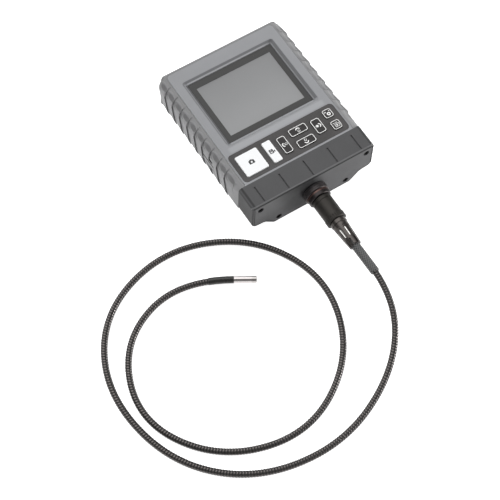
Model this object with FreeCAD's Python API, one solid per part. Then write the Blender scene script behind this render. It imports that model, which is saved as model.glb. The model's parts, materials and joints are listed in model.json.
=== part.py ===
import FreeCAD, Part
import math
import os

from FreeCAD import Vector

# Hand-held inspection camera with a plug-in gooseneck probe, in millimetres.
# X runs across the housing, +Y from the connector to the rear, +Z up through the screen.
# The origin is under the middle of the housing, on the table.

X = Vector(1, 0, 0)
Y = Vector(0, 1, 0)
Z = Vector(0, 0, 1)

# ---------------------------------------------------------------- driving sizes
TOP = 39.5                  # face of the housing above the table
REAR = 82.0                 # rear face of the boot
CAP_BACK = -42.1            # joint between housing and end cap
CAP_FRONT = -63.3           # front face of the end cap
SOCKET_TIP = -82.0          # tip of the panel socket
AXIS_Z = 19.2               # height of the connector's axis
SEAT = 0.3                  # gap beside parts that move or drop in
TOUCH = 0.1                 # gap beside parts that are fixed in place

# Housing section
WALL = 2.2
SHELL_HALF = 56.0           # half width of the shells under the boot
PLATE_HALF = 50.85          # half width of the raised top plate
SPLIT = 27.0                # plane where the two shells meet
STEP = 32.4                 # height where the shell steps in to the top plate
BOOT_WALL_REAR = 2.6
SHELL_REAR = REAR - BOOT_WALL_REAR
SHELL_CORNER = 8.0
WING_EDGE = 10.0            # underside of the side wings at the outer edge
WING_ROOT = 8.6             # and where they meet the belly
BELLY_ROOT = 45.5           # half width of the belly at the wings
BELLY_HALF = 36.5           # half width of the flat underside

# End cap
CAP_HALF = 57.3
CAP_WALL = 2.4
CAP_FACE = 3.0
SPIGOT = 6.0                # reach of the shells into the end cap
COLLAR_WALL = 1.2
FLANGE = 1.2
CAP_SCREWS = ((50.0, 31.5), (32.0, 6.2))
CAP_GROOVE_PITCH = 22.8
SEAM_INSET = 1.5            # groove round the cap's front face
SEAM_WIDE = 0.6
SEAM_DEEP = 0.6

# Boot
BOOT_HALF = 58.7
BOOT_BOTTOM = 11.0
BOOT_CORNER = 11.0
BOOT_TAPER = 8.0            # length over which the boot narrows to the end cap
RIB_COUNT = 10
RIB_PITCH = 11.3
RIB_STEP = 1.0
RIB_LEAN = 0.23             # sideways lean of a rib for each millimetre of height
FIRST_RIB = 75.4            # tip of the rearmost rib, measured at RIB_LEVEL
RIB_LEVEL = 20.0
SCOOP_PLACE = (56.7, 36.9)  # middle of a scoop on the shoulder
SCOOP_SHARE = 0.37          # its place along the pitch
SCOOP_DEEP = 0.8

# Screen
SCREEN_X = 0.0
SCREEN_Y = 31.1
WINDOW_SIZE = (79.6, 64.4)
ACTIVE_SIZE = (70.0, 52.5)
RECESS_SIZE = (87.2, 71.8)
LEDGE = TOP - 2.0
WINDOW_TOP = TOP - 2.2
WINDOW_THICK = 1.2
GASKET_THICK = 0.5
LIP_THICK = 1.3
LCD_SIZE = (76.0, 64.0, 3.2)

# Keys: centre x, centre y, width, height
KEYS = {
    "key_photo": (-35.2, -26.5, 20.0, 20.4),
    "key_video": (-16.3, -26.5, 7.7, 20.8),
    "key_left": (-4.3, -26.7, 7.2, 16.2),
    "key_up": (12.2, -20.6, 15.8, 7.2),
    "key_down": (12.2, -32.8, 15.8, 7.4),
    "key_right": (28.2, -25.8, 7.8, 14.0),
    "key_power": (41.2, -20.0, 7.6, 8.1),
    "key_menu": (41.2, -32.4, 7.6, 8.3),
}
KEY_RISE = 1.0
KEY_TRAVEL = 0.6
KEY_GAP = 0.25
PANEL = (-49.6, 49.6, -40.4, -12.1)
PANEL_THICK = 0.8

# Port on the left side
PORT = (-7.6, 8.4, 19.0, 30.0)         # window in the boot: y from, y to, z from, z to
PORT_PIVOT = (-57.8, 20.4)
PORT_PIN_R = 0.5
PIN_REACH = 2.6                         # reach of the pin into the boot at each end
COVER_HALF_THICK = 1.1
BAY = (-6.6, 7.4, 19.4, 26.5)

# Boards and battery
BOARD_Z = 21.6
BOARD_THICK = 1.6
CELL_R = 7.1
CELL_LONG = 50.5
CELL_PITCH = 14.9
TRAY = (32.2, 17.6, 76.9, 4.4, 18.8)    # half width, y from, y to, z from, z to
TRAY_WALL = 1.4
CELL_Z = 10.1
BLADE = 0.4                             # thickness of a battery contact
DOOR_HALF = 31.0
DOOR_FRONT = 17.0
DOOR_TONGUE = 1.6
CASE_SCREWS = ((49.5, -30.0), (49.5, 66.0))
BOARD_POSTS = ((40.0, -28.0), (40.0, 68.0))

# Connector and probe, all on one axis along Y
SEAL_THICK = 0.8
FLANGE_R = 10.8
FLANGE_END = -69.5
COLLAR_R = 9.7
COLLAR_END = -74.2
SOCKET_R = 6.6
SOCKET_BORE_R = 5.0
BUSH_R = 8.0
BUSH_BACK = -53.0
NUT_R = 8.25
NUT_FRONT = -74.4
NUT_BACK = -97.6
KNURL_LONG = 4.6
RUN = 0.05                  # radial running clearance
PLUG_BACK = -97.8
CLAMP_BACK = -123.4
SLEEVE_R = 3.7
SLEEVE_BACK = -150.6
NECK_R = 2.7
NECK_START = -148.0
NECK_LEVEL = 2.95           # height of the gooseneck's centre where it lies on the table
HEAD_R = 2.75
HEAD_LONG = 18.0
FERRULE_R = 2.95
FERRULE_LONG = 20.0

# Gooseneck route: the corners that its bends round off
ROUTE = (
    (0.0, NECK_START, AXIS_Z),
    (0.0, -180.0, 17.0),
    (-32.5, -223.3, 4.3),
    (-96.4, -251.1, NECK_LEVEL),
    (-167.1, -240.0, NECK_LEVEL),
    (-214.3, -192.5, NECK_LEVEL),
    (-225.1, -119.5, NECK_LEVEL),
    (-192.1, -61.5, NECK_LEVEL),
    (-123.9, -39.4, NECK_LEVEL),
    (-59.1, -67.0, NECK_LEVEL),
    (-28.8, -128.1, NECK_LEVEL),
    (-51.1, -193.5, NECK_LEVEL),
    (-112.2, -231.0, NECK_LEVEL),
    (-180.3, -212.4, NECK_LEVEL),
    (-216.5, -154.2, NECK_LEVEL),
    (-192.6, -91.0, NECK_LEVEL),
    (-129.8, -68.4, NECK_LEVEL),
    (-92.1, -91.2, NECK_LEVEL),
)
BEND_SHARE = 0.45           # share of the shorter run that a bend takes up


# ---------------------------------------------------------------- shape helpers
def box(x0, x1, y0, y1, z0, z1):
    """Block between two corners."""
    return Part.makeBox(x1 - x0, y1 - y0, z1 - z0, Vector(x0, y0, z0))


def rod(start, axis, radius, length):
    """Round bar from a point along an axis."""
    return Part.makeCylinder(radius, length, start, axis)


def tube(start, axis, outer, inner, length):
    """Round tube from a point along an axis."""
    return rod(start, axis, outer, length).cut(rod(start, axis, inner, length))


def on_axis(y):
    """Point on the connector's axis."""
    return Vector(0, y, AXIS_Z)


def turned(outer, inner, front, back):
    """Ring on the connector's axis between two stations, front being the more negative y."""
    body = rod(on_axis(back), -Y, outer, back - front)
    if inner > 0:
        body = body.cut(rod(on_axis(back), -Y, inner, back - front))
    return body


def rounded_wire(corners, place):
    """Closed outline through (a, b, radius) corners, each radius an arc tangent to both sides."""
    count = len(corners)
    joints = []
    for index, (a, b, radius) in enumerate(corners):
        here = Vector(a, b, 0)
        back = Vector(corners[index - 1][0], corners[index - 1][1], 0) - here
        ahead = Vector(corners[(index + 1) % count][0], corners[(index + 1) % count][1], 0) - here
        back.normalize()
        ahead.normalize()
        if radius <= 0:
            joints.append((here, None, here))
            continue
        half = back.getAngle(ahead) / 2
        middle = back + ahead
        middle.normalize()
        reach = radius / math.tan(half)
        rise = radius / math.sin(half) - radius
        joints.append((here + back * reach, here + middle * rise, here + ahead * reach))
    edges = []
    for index, (start, middle, end) in enumerate(joints):
        if middle is not None:
            edges.append(Part.Arc(place(start), place(middle), place(end)).toShape())
        following = joints[(index + 1) % count][0]
        if end.distanceToPoint(following) > 1e-6:
            edges.append(Part.makeLine(place(end), place(following)))
    return Part.Wire(edges)


def section_prism(corners, y0, y1):
    """Outline across the housing (x, z) drawn out along Y."""
    wire = rounded_wire(corners, lambda p: Vector(p.x, y0, p.y))
    return Part.Face(wire).extrude(Vector(0, y1 - y0, 0))


def plan_prism(corners, z0, z1):
    """Outline seen from above (x, y) drawn up along Z."""
    wire = rounded_wire(corners, lambda p: Vector(p.x, p.y, z0))
    return Part.Face(wire).extrude(Vector(0, 0, z1 - z0))


def plate(x0, x1, y0, y1, z0, z1, radius):
    """Flat plate with rounded corners."""
    corners = [(x0, y0, radius), (x1, y0, radius), (x1, y1, radius), (x0, y1, radius)]
    return plan_prism(corners, z0, z1)


def plate_about(x, y, width, height, z0, z1, radius):
    """Flat plate with rounded corners, placed by its middle."""
    return plate(x - width / 2, x + width / 2, y - height / 2, y + height / 2, z0, z1, radius)


def inset_corners(corners, inset):
    """Outline moved inwards by a distance; the corners run counter-clockwise."""
    moved = []
    count = len(corners)
    for index, (a, b, radius) in enumerate(corners):
        a0, b0 = corners[index - 1][:2]
        a1, b1 = corners[(index + 1) % count][:2]
        before = Vector(a - a0, b - b0, 0)
        after = Vector(a1 - a, b1 - b, 0)
        before.normalize()
        after.normalize()
        bend = before.x * after.y - before.y * after.x
        left_before = Vector(-before.y, before.x, 0)
        left_after = Vector(-after.y, after.x, 0)
        shift = (left_before + left_after) * (inset / (1 + left_before.dot(left_after)))
        new_radius = radius - inset if bend > 0 else radius + inset
        if radius <= 0:
            new_radius = 0
        moved.append((a + shift.x, b + shift.y, max(new_radius, 0.0) if bend > 0 else new_radius))
    return moved


def mirrored(shape):
    """Copy on the other side of the housing."""
    return shape.mirror(Vector(0, 0, 0), X)


def both_sides(shape):
    """Shape and its mirror image as two solids."""
    return [shape, mirrored(shape)]


def fused(shapes):
    """Shapes joined into one, seams removed."""
    return shapes[0].multiFuse(shapes[1:]).removeSplitter()


def cut_all(shape, tools):
    """Shape with every tool taken away."""
    for tool in tools:
        shape = shape.cut(tool)
    return shape


def screw(seat, axis, shank_r, shank_long, head_r, head_long):
    """Pan-head screw with a cross recess; axis points from the head along the shank."""
    head = Part.makeCylinder(head_r, head_long, seat - axis * head_long, axis)
    top = [edge for edge in head.Edges if abs((edge.CenterOfMass - seat).dot(axis) + head_long) < 1e-6]
    head = head.makeChamfer(head_long * 0.35, top[:1])
    body = head.fuse(rod(seat, axis, shank_r, shank_long))
    side = X if abs(axis.dot(X)) < 0.5 else Y
    other = axis.cross(side)
    for arm in (side, other):
        across = axis.cross(arm)
        corner = seat - axis * (head_long + 0.1) - arm * (head_r * 0.6) - across * (head_r * 0.14)
        slot = Part.makeBox(1, 1, 1)
        matrix = FreeCAD.Matrix(
            arm.x * head_r * 1.2, across.x * head_r * 0.28, axis.x * head_long * 0.7, corner.x,
            arm.y * head_r * 1.2, across.y * head_r * 0.28, axis.y * head_long * 0.7, corner.y,
            arm.z * head_r * 1.2, across.z * head_r * 0.28, axis.z * head_long * 0.7, corner.z,
            0, 0, 0, 1)
        body = body.cut(slot.transformGeometry(matrix))
    return body


def save(name, shape):
    """Write one node of the assembly."""
    solids = shape if isinstance(shape, list) else [shape]
    flat = [solid for item in solids for solid in item.Solids]
    for solid in flat:
        if not solid.isValid() or solid.Volume <= 0:
            print("BAD SOLID", name, solid.isValid(), solid.Volume)
    out = flat[0] if len(flat) == 1 else Part.makeCompound(flat)
    out.exportStep("parts/" + name + ".step")
    print(name, len(flat), round(sum(solid.Volume for solid in flat), 1))


# ---------------------------------------------------------------- housing outlines
def cap_corners():
    """Section of the end cap."""
    right = [(BELLY_HALF, 0.0, 3.0), (BELLY_ROOT, WING_ROOT, 5.0), (CAP_HALF, WING_EDGE, 4.6), (CAP_HALF, TOP, 3.4)]
    return right + [(-a, b, r) for a, b, r in reversed(right)]


def back_corners():
    """Section of the back shell up to the plane where the shells meet."""
    right = [(BELLY_HALF, 0.0, 3.0), (BELLY_ROOT, WING_ROOT, 5.0), (SHELL_HALF, WING_EDGE, 3.6), (SHELL_HALF, SPLIT, 0.0)]
    return right + [(-a, b, r) for a, b, r in reversed(right)]


def shell_plan(half, rear, corner, front):
    """Plan outline with two rounded rear corners and square front ones."""
    return [(-half, front, 0), (half, front, 0), (half, rear, corner), (-half, rear, corner)]


def spigot(outside, z0, z1):
    """Collar that plugs into the end cap, with the flange that carries it on a shell."""
    band = box(-70, 70, CAP_BACK - SPIGOT, CAP_BACK + FLANGE, z0, z1)
    collar = section_prism(inset_corners(cap_corners(), CAP_WALL + TOUCH), CAP_BACK - SPIGOT, CAP_BACK)
    flange = outside.common(box(-70, 70, CAP_BACK, CAP_BACK + FLANGE, 0, TOP))
    room = section_prism(
        inset_corners(cap_corners(), CAP_WALL + TOUCH + COLLAR_WALL), CAP_BACK - SPIGOT - 1, CAP_BACK + FLANGE + 1)
    return collar.fuse(flange).common(band).cut(room)


def shell_envelope():
    """Filled outside of both shells, which the boot is moulded round."""
    lower = plan_prism(shell_plan(SHELL_HALF, SHELL_REAR, SHELL_CORNER, CAP_BACK - 20), -1.0, STEP)
    gap = 0.25
    upper = plan_prism(shell_plan(PLATE_HALF + gap, SHELL_REAR - 0.35 + gap, 3.7, CAP_BACK - 20), STEP - 1, TOP + 5)
    return lower.fuse(upper)


# ---------------------------------------------------------------- front shell
def well_block():
    """Sunken frame of the screen, below the plate."""
    bottom = WINDOW_TOP - WINDOW_THICK - GASKET_THICK - LIP_THICK
    return plate_about(SCREEN_X, SCREEN_Y, RECESS_SIZE[0] + 4, RECESS_SIZE[1] + 4, bottom, TOP - 1, 3.0)


def recess_cut():
    """Sloping walls down to the ledge round the window."""
    def outline(width, height, z, radius):
        corners = [
            (-width / 2, SCREEN_Y - height / 2, radius), (width / 2, SCREEN_Y - height / 2, radius),
            (width / 2, SCREEN_Y + height / 2, radius), (-width / 2, SCREEN_Y + height / 2, radius)]
        return rounded_wire(corners, lambda p: Vector(p.x, p.y, z))
    outer = outline(RECESS_SIZE[0], RECESS_SIZE[1], TOP + 0.01, 2.6)
    inner = outline(WINDOW_SIZE[0] + 2.2, WINDOW_SIZE[1] + 2.2, LEDGE, 1.4)
    return Part.makeLoft([outer, inner], True, True)


def front_shell():
    low = plan_prism(shell_plan(SHELL_HALF, SHELL_REAR, SHELL_CORNER, CAP_BACK), SPLIT, STEP)
    high = plan_prism(shell_plan(PLATE_HALF, SHELL_REAR - 0.35, 3.5, CAP_BACK), STEP - 0.5, TOP)
    body = low.fuse(high)
    low_room = plan_prism(
        shell_plan(SHELL_HALF - WALL, SHELL_REAR - WALL, SHELL_CORNER - WALL, CAP_BACK - 1), SPLIT - 1, STEP - 2.0)
    high_room = plan_prism(
        shell_plan(PLATE_HALF - WALL, SHELL_REAR - 0.35 - WALL, 1.5, CAP_BACK - 1), SPLIT - 1, TOP - WALL)
    body = body.cut(low_room).cut(high_room)
    outside = low.fuse(high)
    room_ahead = section_prism(inset_corners(cap_corners(), CAP_WALL + TOUCH), CAP_BACK - 20, CAP_BACK)
    additions = [well_block(), spigot(outside, SPLIT, TOP)]
    for x, z in CAP_SCREWS[:1]:
        for post in both_sides(rod(Vector(x, CAP_BACK - 8.0, z), Y, 3.4, 14.0)):
            additions.append(post.common(outside.fuse(room_ahead)))
    for x, y in CASE_SCREWS:
        for post in both_sides(rod(Vector(x, y, SPLIT), Z, 3.3, STEP - SPLIT)):
            additions.append(post)
    for x, y in key_posts():
        additions.append(rod(Vector(x, y, key_levels()["board_top"]), Z, 1.9, TOP - 1.5 - key_levels()["board_top"]))
    body = fused([body] + additions)
    cuts = [recess_cut()]
    window_floor = WINDOW_TOP - WINDOW_THICK - GASKET_THICK
    cuts.append(plate_about(
        0, SCREEN_Y, WINDOW_SIZE[0] + 2 * TOUCH, WINDOW_SIZE[1] + 2 * TOUCH, window_floor, TOP, 0.9))
    cuts.append(plate_about(0, SCREEN_Y, ACTIVE_SIZE[0] + 2.4, ACTIVE_SIZE[1] + 2.4, 20, TOP, 1.0))
    x0, x1, y0, y1 = PANEL
    cuts.append(plate(x0 - TOUCH, x1 + TOUCH, y0 - TOUCH, y1 + TOUCH, TOP - PANEL_THICK, TOP + 1, 3.6))
    for x, y, width, height in KEYS.values():
        cuts.append(plate_about(x, y, width + 2 * KEY_GAP, height + 2 * KEY_GAP, 30, TOP + 1, 1.4))
    for x, z in CAP_SCREWS[:1]:
        cuts.extend(both_sides(rod(Vector(x, CAP_BACK - 9.0, z), Y, 1.3 + RUN, 12.5)))
    for x, y in CASE_SCREWS:
        cuts.extend(both_sides(rod(Vector(x, y, SPLIT - 1), Z, 1.3 + RUN, 4.6)))
    for x, y in key_posts():
        cuts.append(rod(Vector(x, y, key_levels()["board_top"] - 1), Z, 0.9 + RUN, 4.2))
    for x, y in bracket_posts():
        cuts.append(rod(Vector(x, y, 33.0), Z, 0.9 + RUN, 3.6))
    return cut_all(body, cuts)


# ---------------------------------------------------------------- back shell
def back_shell():
    plan = plan_prism(shell_plan(SHELL_HALF, SHELL_REAR, SHELL_CORNER, CAP_BACK), -5, 60)
    body = section_prism(back_corners(), CAP_BACK, SHELL_REAR).common(plan)
    inner = [(a, b if r > 0 else SPLIT + 5, r) for a, b, r in inset_corners(back_corners(), WALL)]
    inner_plan = plan_prism(
        shell_plan(SHELL_HALF - WALL, SHELL_REAR - WALL, SHELL_CORNER - WALL, CAP_BACK - 1), -5, 60)
    room = section_prism(inner, CAP_BACK - 1, SHELL_REAR - WALL).common(inner_plan)
    body = body.cut(room)
    additions = [spigot(section_prism(back_corners(), CAP_BACK, SHELL_REAR), -1, SPLIT)]
    for x, z in CAP_SCREWS[1:]:
        additions.extend(both_sides(rod(Vector(x, CAP_BACK - 8.0, z), Y, 3.4, 14.0)))
    for x, y in CASE_SCREWS:
        additions.extend(both_sides(rod(Vector(x, y, WING_EDGE), Z, 3.3, SPLIT - WING_EDGE)))
    outside = section_prism(back_corners(), CAP_BACK, SHELL_REAR)
    for x, y in BOARD_POSTS:
        additions.extend(both_sides(rod(Vector(x, y, 0), Z, 2.6, BOARD_Z).common(outside)))
    rail_top = TRAY[3]
    rails = box(BELLY_HALF - 8.5, BELLY_HALF - 0.5, DOOR_FRONT - 2, SHELL_REAR - 1, 1.5, rail_top)
    additions.extend(both_sides(rails))
    additions.append(box(-30, 30, DOOR_FRONT - 2, DOOR_FRONT + 2.2, 1.5, rail_top))
    additions.append(box(-30, 30, SHELL_REAR - WALL - 2.0, SHELL_REAR - 1, 1.5, rail_top))
    body = fused([body] + additions)
    cuts = door_channel()
    cuts.append(box(-29.6, 29.6, DOOR_FRONT + 2.2, SHELL_REAR - WALL - 2.0, -1, rail_top + 1))
    y0, y1, z0, z1 = BAY
    cuts.append(box(-SHELL_HALF - 1, -SHELL_HALF + WALL + 1, y0, y1, z0, z1))
    for x, z in CAP_SCREWS[1:]:
        cuts.extend(both_sides(rod(Vector(x, CAP_BACK - 9.0, z), Y, 1.3 + RUN, 12.5)))
    for x, y in CASE_SCREWS:
        cuts.extend(both_sides(rod(Vector(x, y, 0), Z, 1.5, 40)))
        cuts.extend(both_sides(rod(Vector(x, y, 0), Z, 2.9, WING_EDGE + 2.6)))
    for x, y in BOARD_POSTS:
        cuts.extend(both_sides(rod(Vector(x, y, BOARD_Z - 6), Z, 0.9 + RUN, 8)))
    return cut_all(body, cuts)


def door_channel():
    """Room for the battery door, open at the rear end of the belly."""
    wide = DOOR_HALF + SEAT
    slot = DOOR_HALF + DOOR_TONGUE + SEAT
    back = SHELL_REAR + 5
    return [
        box(-wide, wide, DOOR_FRONT - SEAT, back, -1, 2.4),
        box(-slot, slot, DOOR_FRONT - SEAT, back, 0.8, 2.4),
    ]


def battery_door():
    door = plate(-DOOR_HALF, DOOR_HALF, DOOR_FRONT, SHELL_REAR, 0.3, 2.1, 0.6)
    tongues = [box(DOOR_HALF - 1, DOOR_HALF + DOOR_TONGUE, DOOR_FRONT + 6, SHELL_REAR - 6, 1.1, 2.1)]
    door = fused([door] + tongues + [mirrored(tongues[0])])
    ridges = []
    for index in range(6):
        y = DOOR_FRONT + 6 + 2.4 * index
        ridges.append(box(-10, 10, y, y + 1.2, 0, 0.8))
    ridges.append(plan_prism([(-4, DOOR_FRONT + 24, 0), (4, DOOR_FRONT + 24, 0), (0, DOOR_FRONT + 31, 0)], 0, 0.7))
    return cut_all(door, ridges)


# ---------------------------------------------------------------- boot
def boot_side(swell):
    """Corner points of the boot's outside on the right, swollen outwards by a distance."""
    return {
        "start": (52.4 + 0.1 * swell, 39.1 + 0.35 * swell),
        "bulge": (56.75 + 0.75 * swell, 36.2 + 0.65 * swell),
        "side": (BOOT_HALF + swell, 30.5),
        "foot": (BOOT_HALF + swell, 16.5),
        "lip": (57.9 + 0.6 * swell, 12.4),
    }


def rib_section(tip, swell):
    """Outline of a rib in its leaning plane."""
    p = boot_side(swell)

    def at(point):
        return Vector(point[0], tip + RIB_LEAN * (point[1] - RIB_LEVEL), point[1])

    inner_low, inner_mid, inner_top = (57.0, 12.4), (57.0, 29.0), (52.3, 37.0)
    return Part.Wire([
        Part.Arc(at(p["start"]), at(p["bulge"]), at(p["side"])).toShape(),
        Part.makeLine(at(p["side"]), at(p["foot"])),
        Part.makeLine(at(p["foot"]), at(p["lip"])),
        Part.makeLine(at(p["lip"]), at(inner_low)),
        Part.makeLine(at(inner_low), at(inner_mid)),
        Part.makeLine(at(inner_mid), at(inner_top)),
        Part.makeLine(at(inner_top), at(p["start"])),
    ])


def rear_limit():
    """Everything in front of the boot's back face, whose long edges are rounded."""
    front, top = CAP_BACK - 1, TOP - 0.1
    profile = [(front, 0, 0), (REAR, 0, 4.0), (REAR, top, 2.6), (front, top, 0)]
    wire = rounded_wire(profile, lambda q: Vector(-80, q.x, q.y))
    return Part.Face(wire).extrude(Vector(160, 0, 0))


def boot_outside():
    """Plain outside of the boot, without ribs."""
    p = boot_side(0.0)

    def at(point):
        return Vector(point[0], CAP_BACK, point[1])

    def left(point):
        return Vector(-point[0], CAP_BACK, point[1])

    edge = (51.0, TOP - 0.1)
    low = (57.2, BOOT_BOTTOM)
    edges = [
        Part.makeLine(left(edge), at(edge)),
        Part.makeLine(at(edge), at(p["start"])),
        Part.Arc(at(p["start"]), at(p["bulge"]), at(p["side"])).toShape(),
        Part.makeLine(at(p["side"]), at(p["foot"])),
        Part.makeLine(at(p["foot"]), at(p["lip"])),
        Part.makeLine(at(p["lip"]), at(low)),
        Part.makeLine(at(low), left(low)),
        Part.makeLine(left(low), left(p["lip"])),
        Part.makeLine(left(p["lip"]), left(p["foot"])),
        Part.makeLine(left(p["foot"]), left(p["side"])),
        Part.Arc(left(p["side"]), left(p["bulge"]), left(p["start"])).toShape(),
        Part.makeLine(left(p["start"]), left(edge)),
    ]
    body = Part.Face(Part.Wire(edges)).extrude(Vector(0, REAR - CAP_BACK, 0))
    half = BOOT_HALF + 0.01
    front = CAP_HALF + 0.05
    plan = plan_prism([
        (-front, CAP_BACK, 0), (front, CAP_BACK, 0), (half, CAP_BACK + BOOT_TAPER, 12.0),
        (half, REAR, BOOT_CORNER), (-half, REAR, BOOT_CORNER), (-half, CAP_BACK + BOOT_TAPER, 12.0)], -1, TOP + 1)
    return body.common(plan).common(rear_limit())


def swollen_corner():
    """Room the first rib may fill: it runs out around the rear corner."""
    half, radius = BOOT_HALF + RIB_STEP, BOOT_CORNER + RIB_STEP
    plan = [(-half, 0, 0), (half, 0, 0), (half, REAR, radius), (-half, REAR, radius)]
    return plan_prism(plan, -1, TOP + 1).common(rear_limit())


def scoop(y):
    """Tool that presses a long shallow dip into the right shoulder of the boot."""
    x, z = SCOOP_PLACE
    normal = Vector(0.66, 0, 0.75)
    normal.normalize()
    long_r, short_r = 9.0, 5.0
    middle = Vector(x, y, z) + normal * (long_r + short_r - SCOOP_DEEP)
    return Part.makeTorus(long_r, short_r, middle, Y.cross(normal))


def grip_boot():
    outside = boot_outside()
    ribs = []
    for index in range(RIB_COUNT):
        tip = FIRST_RIB - RIB_PITCH * index
        high = rib_section(tip, RIB_STEP)
        low = rib_section(tip + RIB_PITCH - 0.4, -0.2)
        rib = Part.makeLoft([low, high], True, True)
        if index == 0:
            rib = rib.common(swollen_corner())
        ribs.extend(both_sides(rib))
    body = outside.multiFuse(ribs)
    body = body.cut(shell_envelope())
    cuts = []
    for index in range(1, RIB_COUNT):
        tip = FIRST_RIB - RIB_PITCH * index
        cuts.extend(both_sides(scoop(tip + RIB_PITCH * SCOOP_SHARE + RIB_LEAN * (SCOOP_PLACE[1] - RIB_LEVEL))))
    y0, y1, z0, z1 = PORT
    cuts.append(box(-70, -50, y0, y1, z0, z1))
    cuts.append(rod(Vector(PORT_PIVOT[0], y0 - PIN_REACH, PORT_PIVOT[1]), Y, PORT_PIN_R + RUN, y1 - y0 + 2 * PIN_REACH))
    cuts.append(box(-80, 80, CAP_BACK - 10, CAP_BACK, -1, 60))
    return cut_all(body, cuts)


# ---------------------------------------------------------------- end cap
def end_cap():
    outer = section_prism(cap_corners(), CAP_FRONT, CAP_BACK)
    front_edges = [
        edge for edge in outer.Edges
        if edge.BoundBox.YMax < CAP_FRONT + 0.01
    ]
    outer = outer.makeFillet(1.3, front_edges)
    inner = section_prism(inset_corners(cap_corners(), CAP_WALL), CAP_FRONT + CAP_FACE, CAP_BACK + 1)
    body = outer.cut(inner)
    posts = []
    for x, z in CAP_SCREWS:
        posts.extend(both_sides(rod(Vector(x, CAP_FRONT + 1.6, z), Y, 3.6, CAP_BACK - 8.0 - TOUCH - CAP_FRONT - 1.6)))
    body = fused([body] + [post.common(outer) for post in posts])
    cuts = []
    for x, z in CAP_SCREWS:
        cuts.extend(both_sides(rod(Vector(x, CAP_FRONT - 1, z), Y, 1.6, 30)))
        cuts.extend(both_sides(rod(Vector(x, CAP_FRONT - 1, z), Y, 2.7, 3.2)))
    for index in range(5):
        x = (index - 2) * CAP_GROOVE_PITCH
        wire = Part.makePolygon([
            Vector(x - 0.75, CAP_BACK - 4.3, TOP + 0.1), Vector(x + 0.75, CAP_BACK - 4.3, TOP + 0.1),
            Vector(x + 0.25, CAP_BACK - 4.3, TOP - 1.0), Vector(x - 0.25, CAP_BACK - 4.3, TOP - 1.0),
            Vector(x - 0.75, CAP_BACK - 4.3, TOP + 0.1)])
        cuts.append(Part.Face(wire).extrude(Vector(0, CAP_FRONT + 1.6 - CAP_BACK + 4.3, 0)))
    cuts.append(rod(on_axis(CAP_FRONT + 10), -Y, BUSH_R + TOUCH, 20))
    cuts.append(seam_groove())
    return cut_all(body, cuts)


def seam_groove():
    """Groove round the front face, just inside its rounded edge."""
    outer = section_prism(inset_corners(cap_corners(), SEAM_INSET), CAP_FRONT - 1, CAP_FRONT + SEAM_DEEP)
    inner = section_prism(inset_corners(cap_corners(), SEAM_INSET + SEAM_WIDE), CAP_FRONT - 2, CAP_FRONT + SEAM_DEEP + 1)
    return outer.cut(inner)


def end_cap_screws():
    screws = []
    for x, z in CAP_SCREWS:
        for side in (x, -x):
            screws.append(screw(Vector(side, CAP_FRONT + 2.2, z), Y, 1.3, 22.0, 2.5, 1.7))
    return screws


def case_screws():
    screws = []
    for x, y in CASE_SCREWS:
        for side in (x, -x):
            screws.append(screw(Vector(side, y, WING_EDGE + 2.6), Z, 1.3, 17.6, 2.6, 1.8))
    return screws


# ---------------------------------------------------------------- screen
def screen_window():
    top = plate_about(0, SCREEN_Y, WINDOW_SIZE[0], WINDOW_SIZE[1], WINDOW_TOP - WINDOW_THICK, WINDOW_TOP, 0.9)
    return top


def window_gasket():
    z0 = WINDOW_TOP - WINDOW_THICK - GASKET_THICK
    ring = plate_about(0, SCREEN_Y, WINDOW_SIZE[0], WINDOW_SIZE[1], z0, z0 + GASKET_THICK, 0.9)
    return ring.cut(plate_about(0, SCREEN_Y - 0.4, ACTIVE_SIZE[0], ACTIVE_SIZE[1], z0 - 1, z0 + 2, 0.4))


def lcd_top():
    """Height where the display module meets the lip of the front shell."""
    return WINDOW_TOP - WINDOW_THICK - GASKET_THICK - LIP_THICK


def lcd_panel():
    width, height, thick = LCD_SIZE
    top = lcd_top()
    body = plate_about(0, SCREEN_Y, width, height, top - thick, top, 0.8)
    dish = plate_about(0, SCREEN_Y - 0.4, ACTIVE_SIZE[0] + 1.0, ACTIVE_SIZE[1] + 1.0, top - 0.3, top + 1, 0.3)
    return body.cut(dish)


def bracket_posts():
    """Places of the screws that hold the display bracket."""
    return [(sx * 40.6, SCREEN_Y + sy * 34.6) for sx in (-1, 1) for sy in (-1, 1)]


def lcd_bracket():
    width, height, thick = LCD_SIZE
    top = lcd_top()
    low = top - thick - 1.8
    body = plate_about(0, SCREEN_Y, width + 10, height + 9.4, low, top, 2.0)
    pocket = plate_about(0, SCREEN_Y, width + 2 * TOUCH, height + 2 * TOUCH, top - thick, top + 1, 0.9)
    relief = plate_about(0, SCREEN_Y, width - 16, height - 16, low - 1, top, 3.0)
    body = body.cut(pocket).cut(relief)
    for x, y in bracket_posts():
        body = body.cut(rod(Vector(x, y, low - 1), Z, 1.1, 10))
    return body


def bracket_screws():
    top = lcd_top()
    low = top - LCD_SIZE[2] - 1.8
    return [screw(Vector(x, y, low), Z, 0.9, 7.0, 1.9, 1.3) for x, y in bracket_posts()]


# ---------------------------------------------------------------- keypad
def key_levels():
    """Heights of the stack below the keys."""
    flange_top = TOP - WALL - 0.2
    flange_low = flange_top - 1.0
    dome_top = flange_low - KEY_TRAVEL - 0.05
    board_top = 33.6
    return {"flange_top": flange_top, "flange_low": flange_low, "dome_top": dome_top, "board_top": board_top}


def key_posts():
    """Places of the screws that hold the key board."""
    return [(sx * 30.0, y) for sx in (-1, 1) for y in (-12.3, -39.9)]


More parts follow.
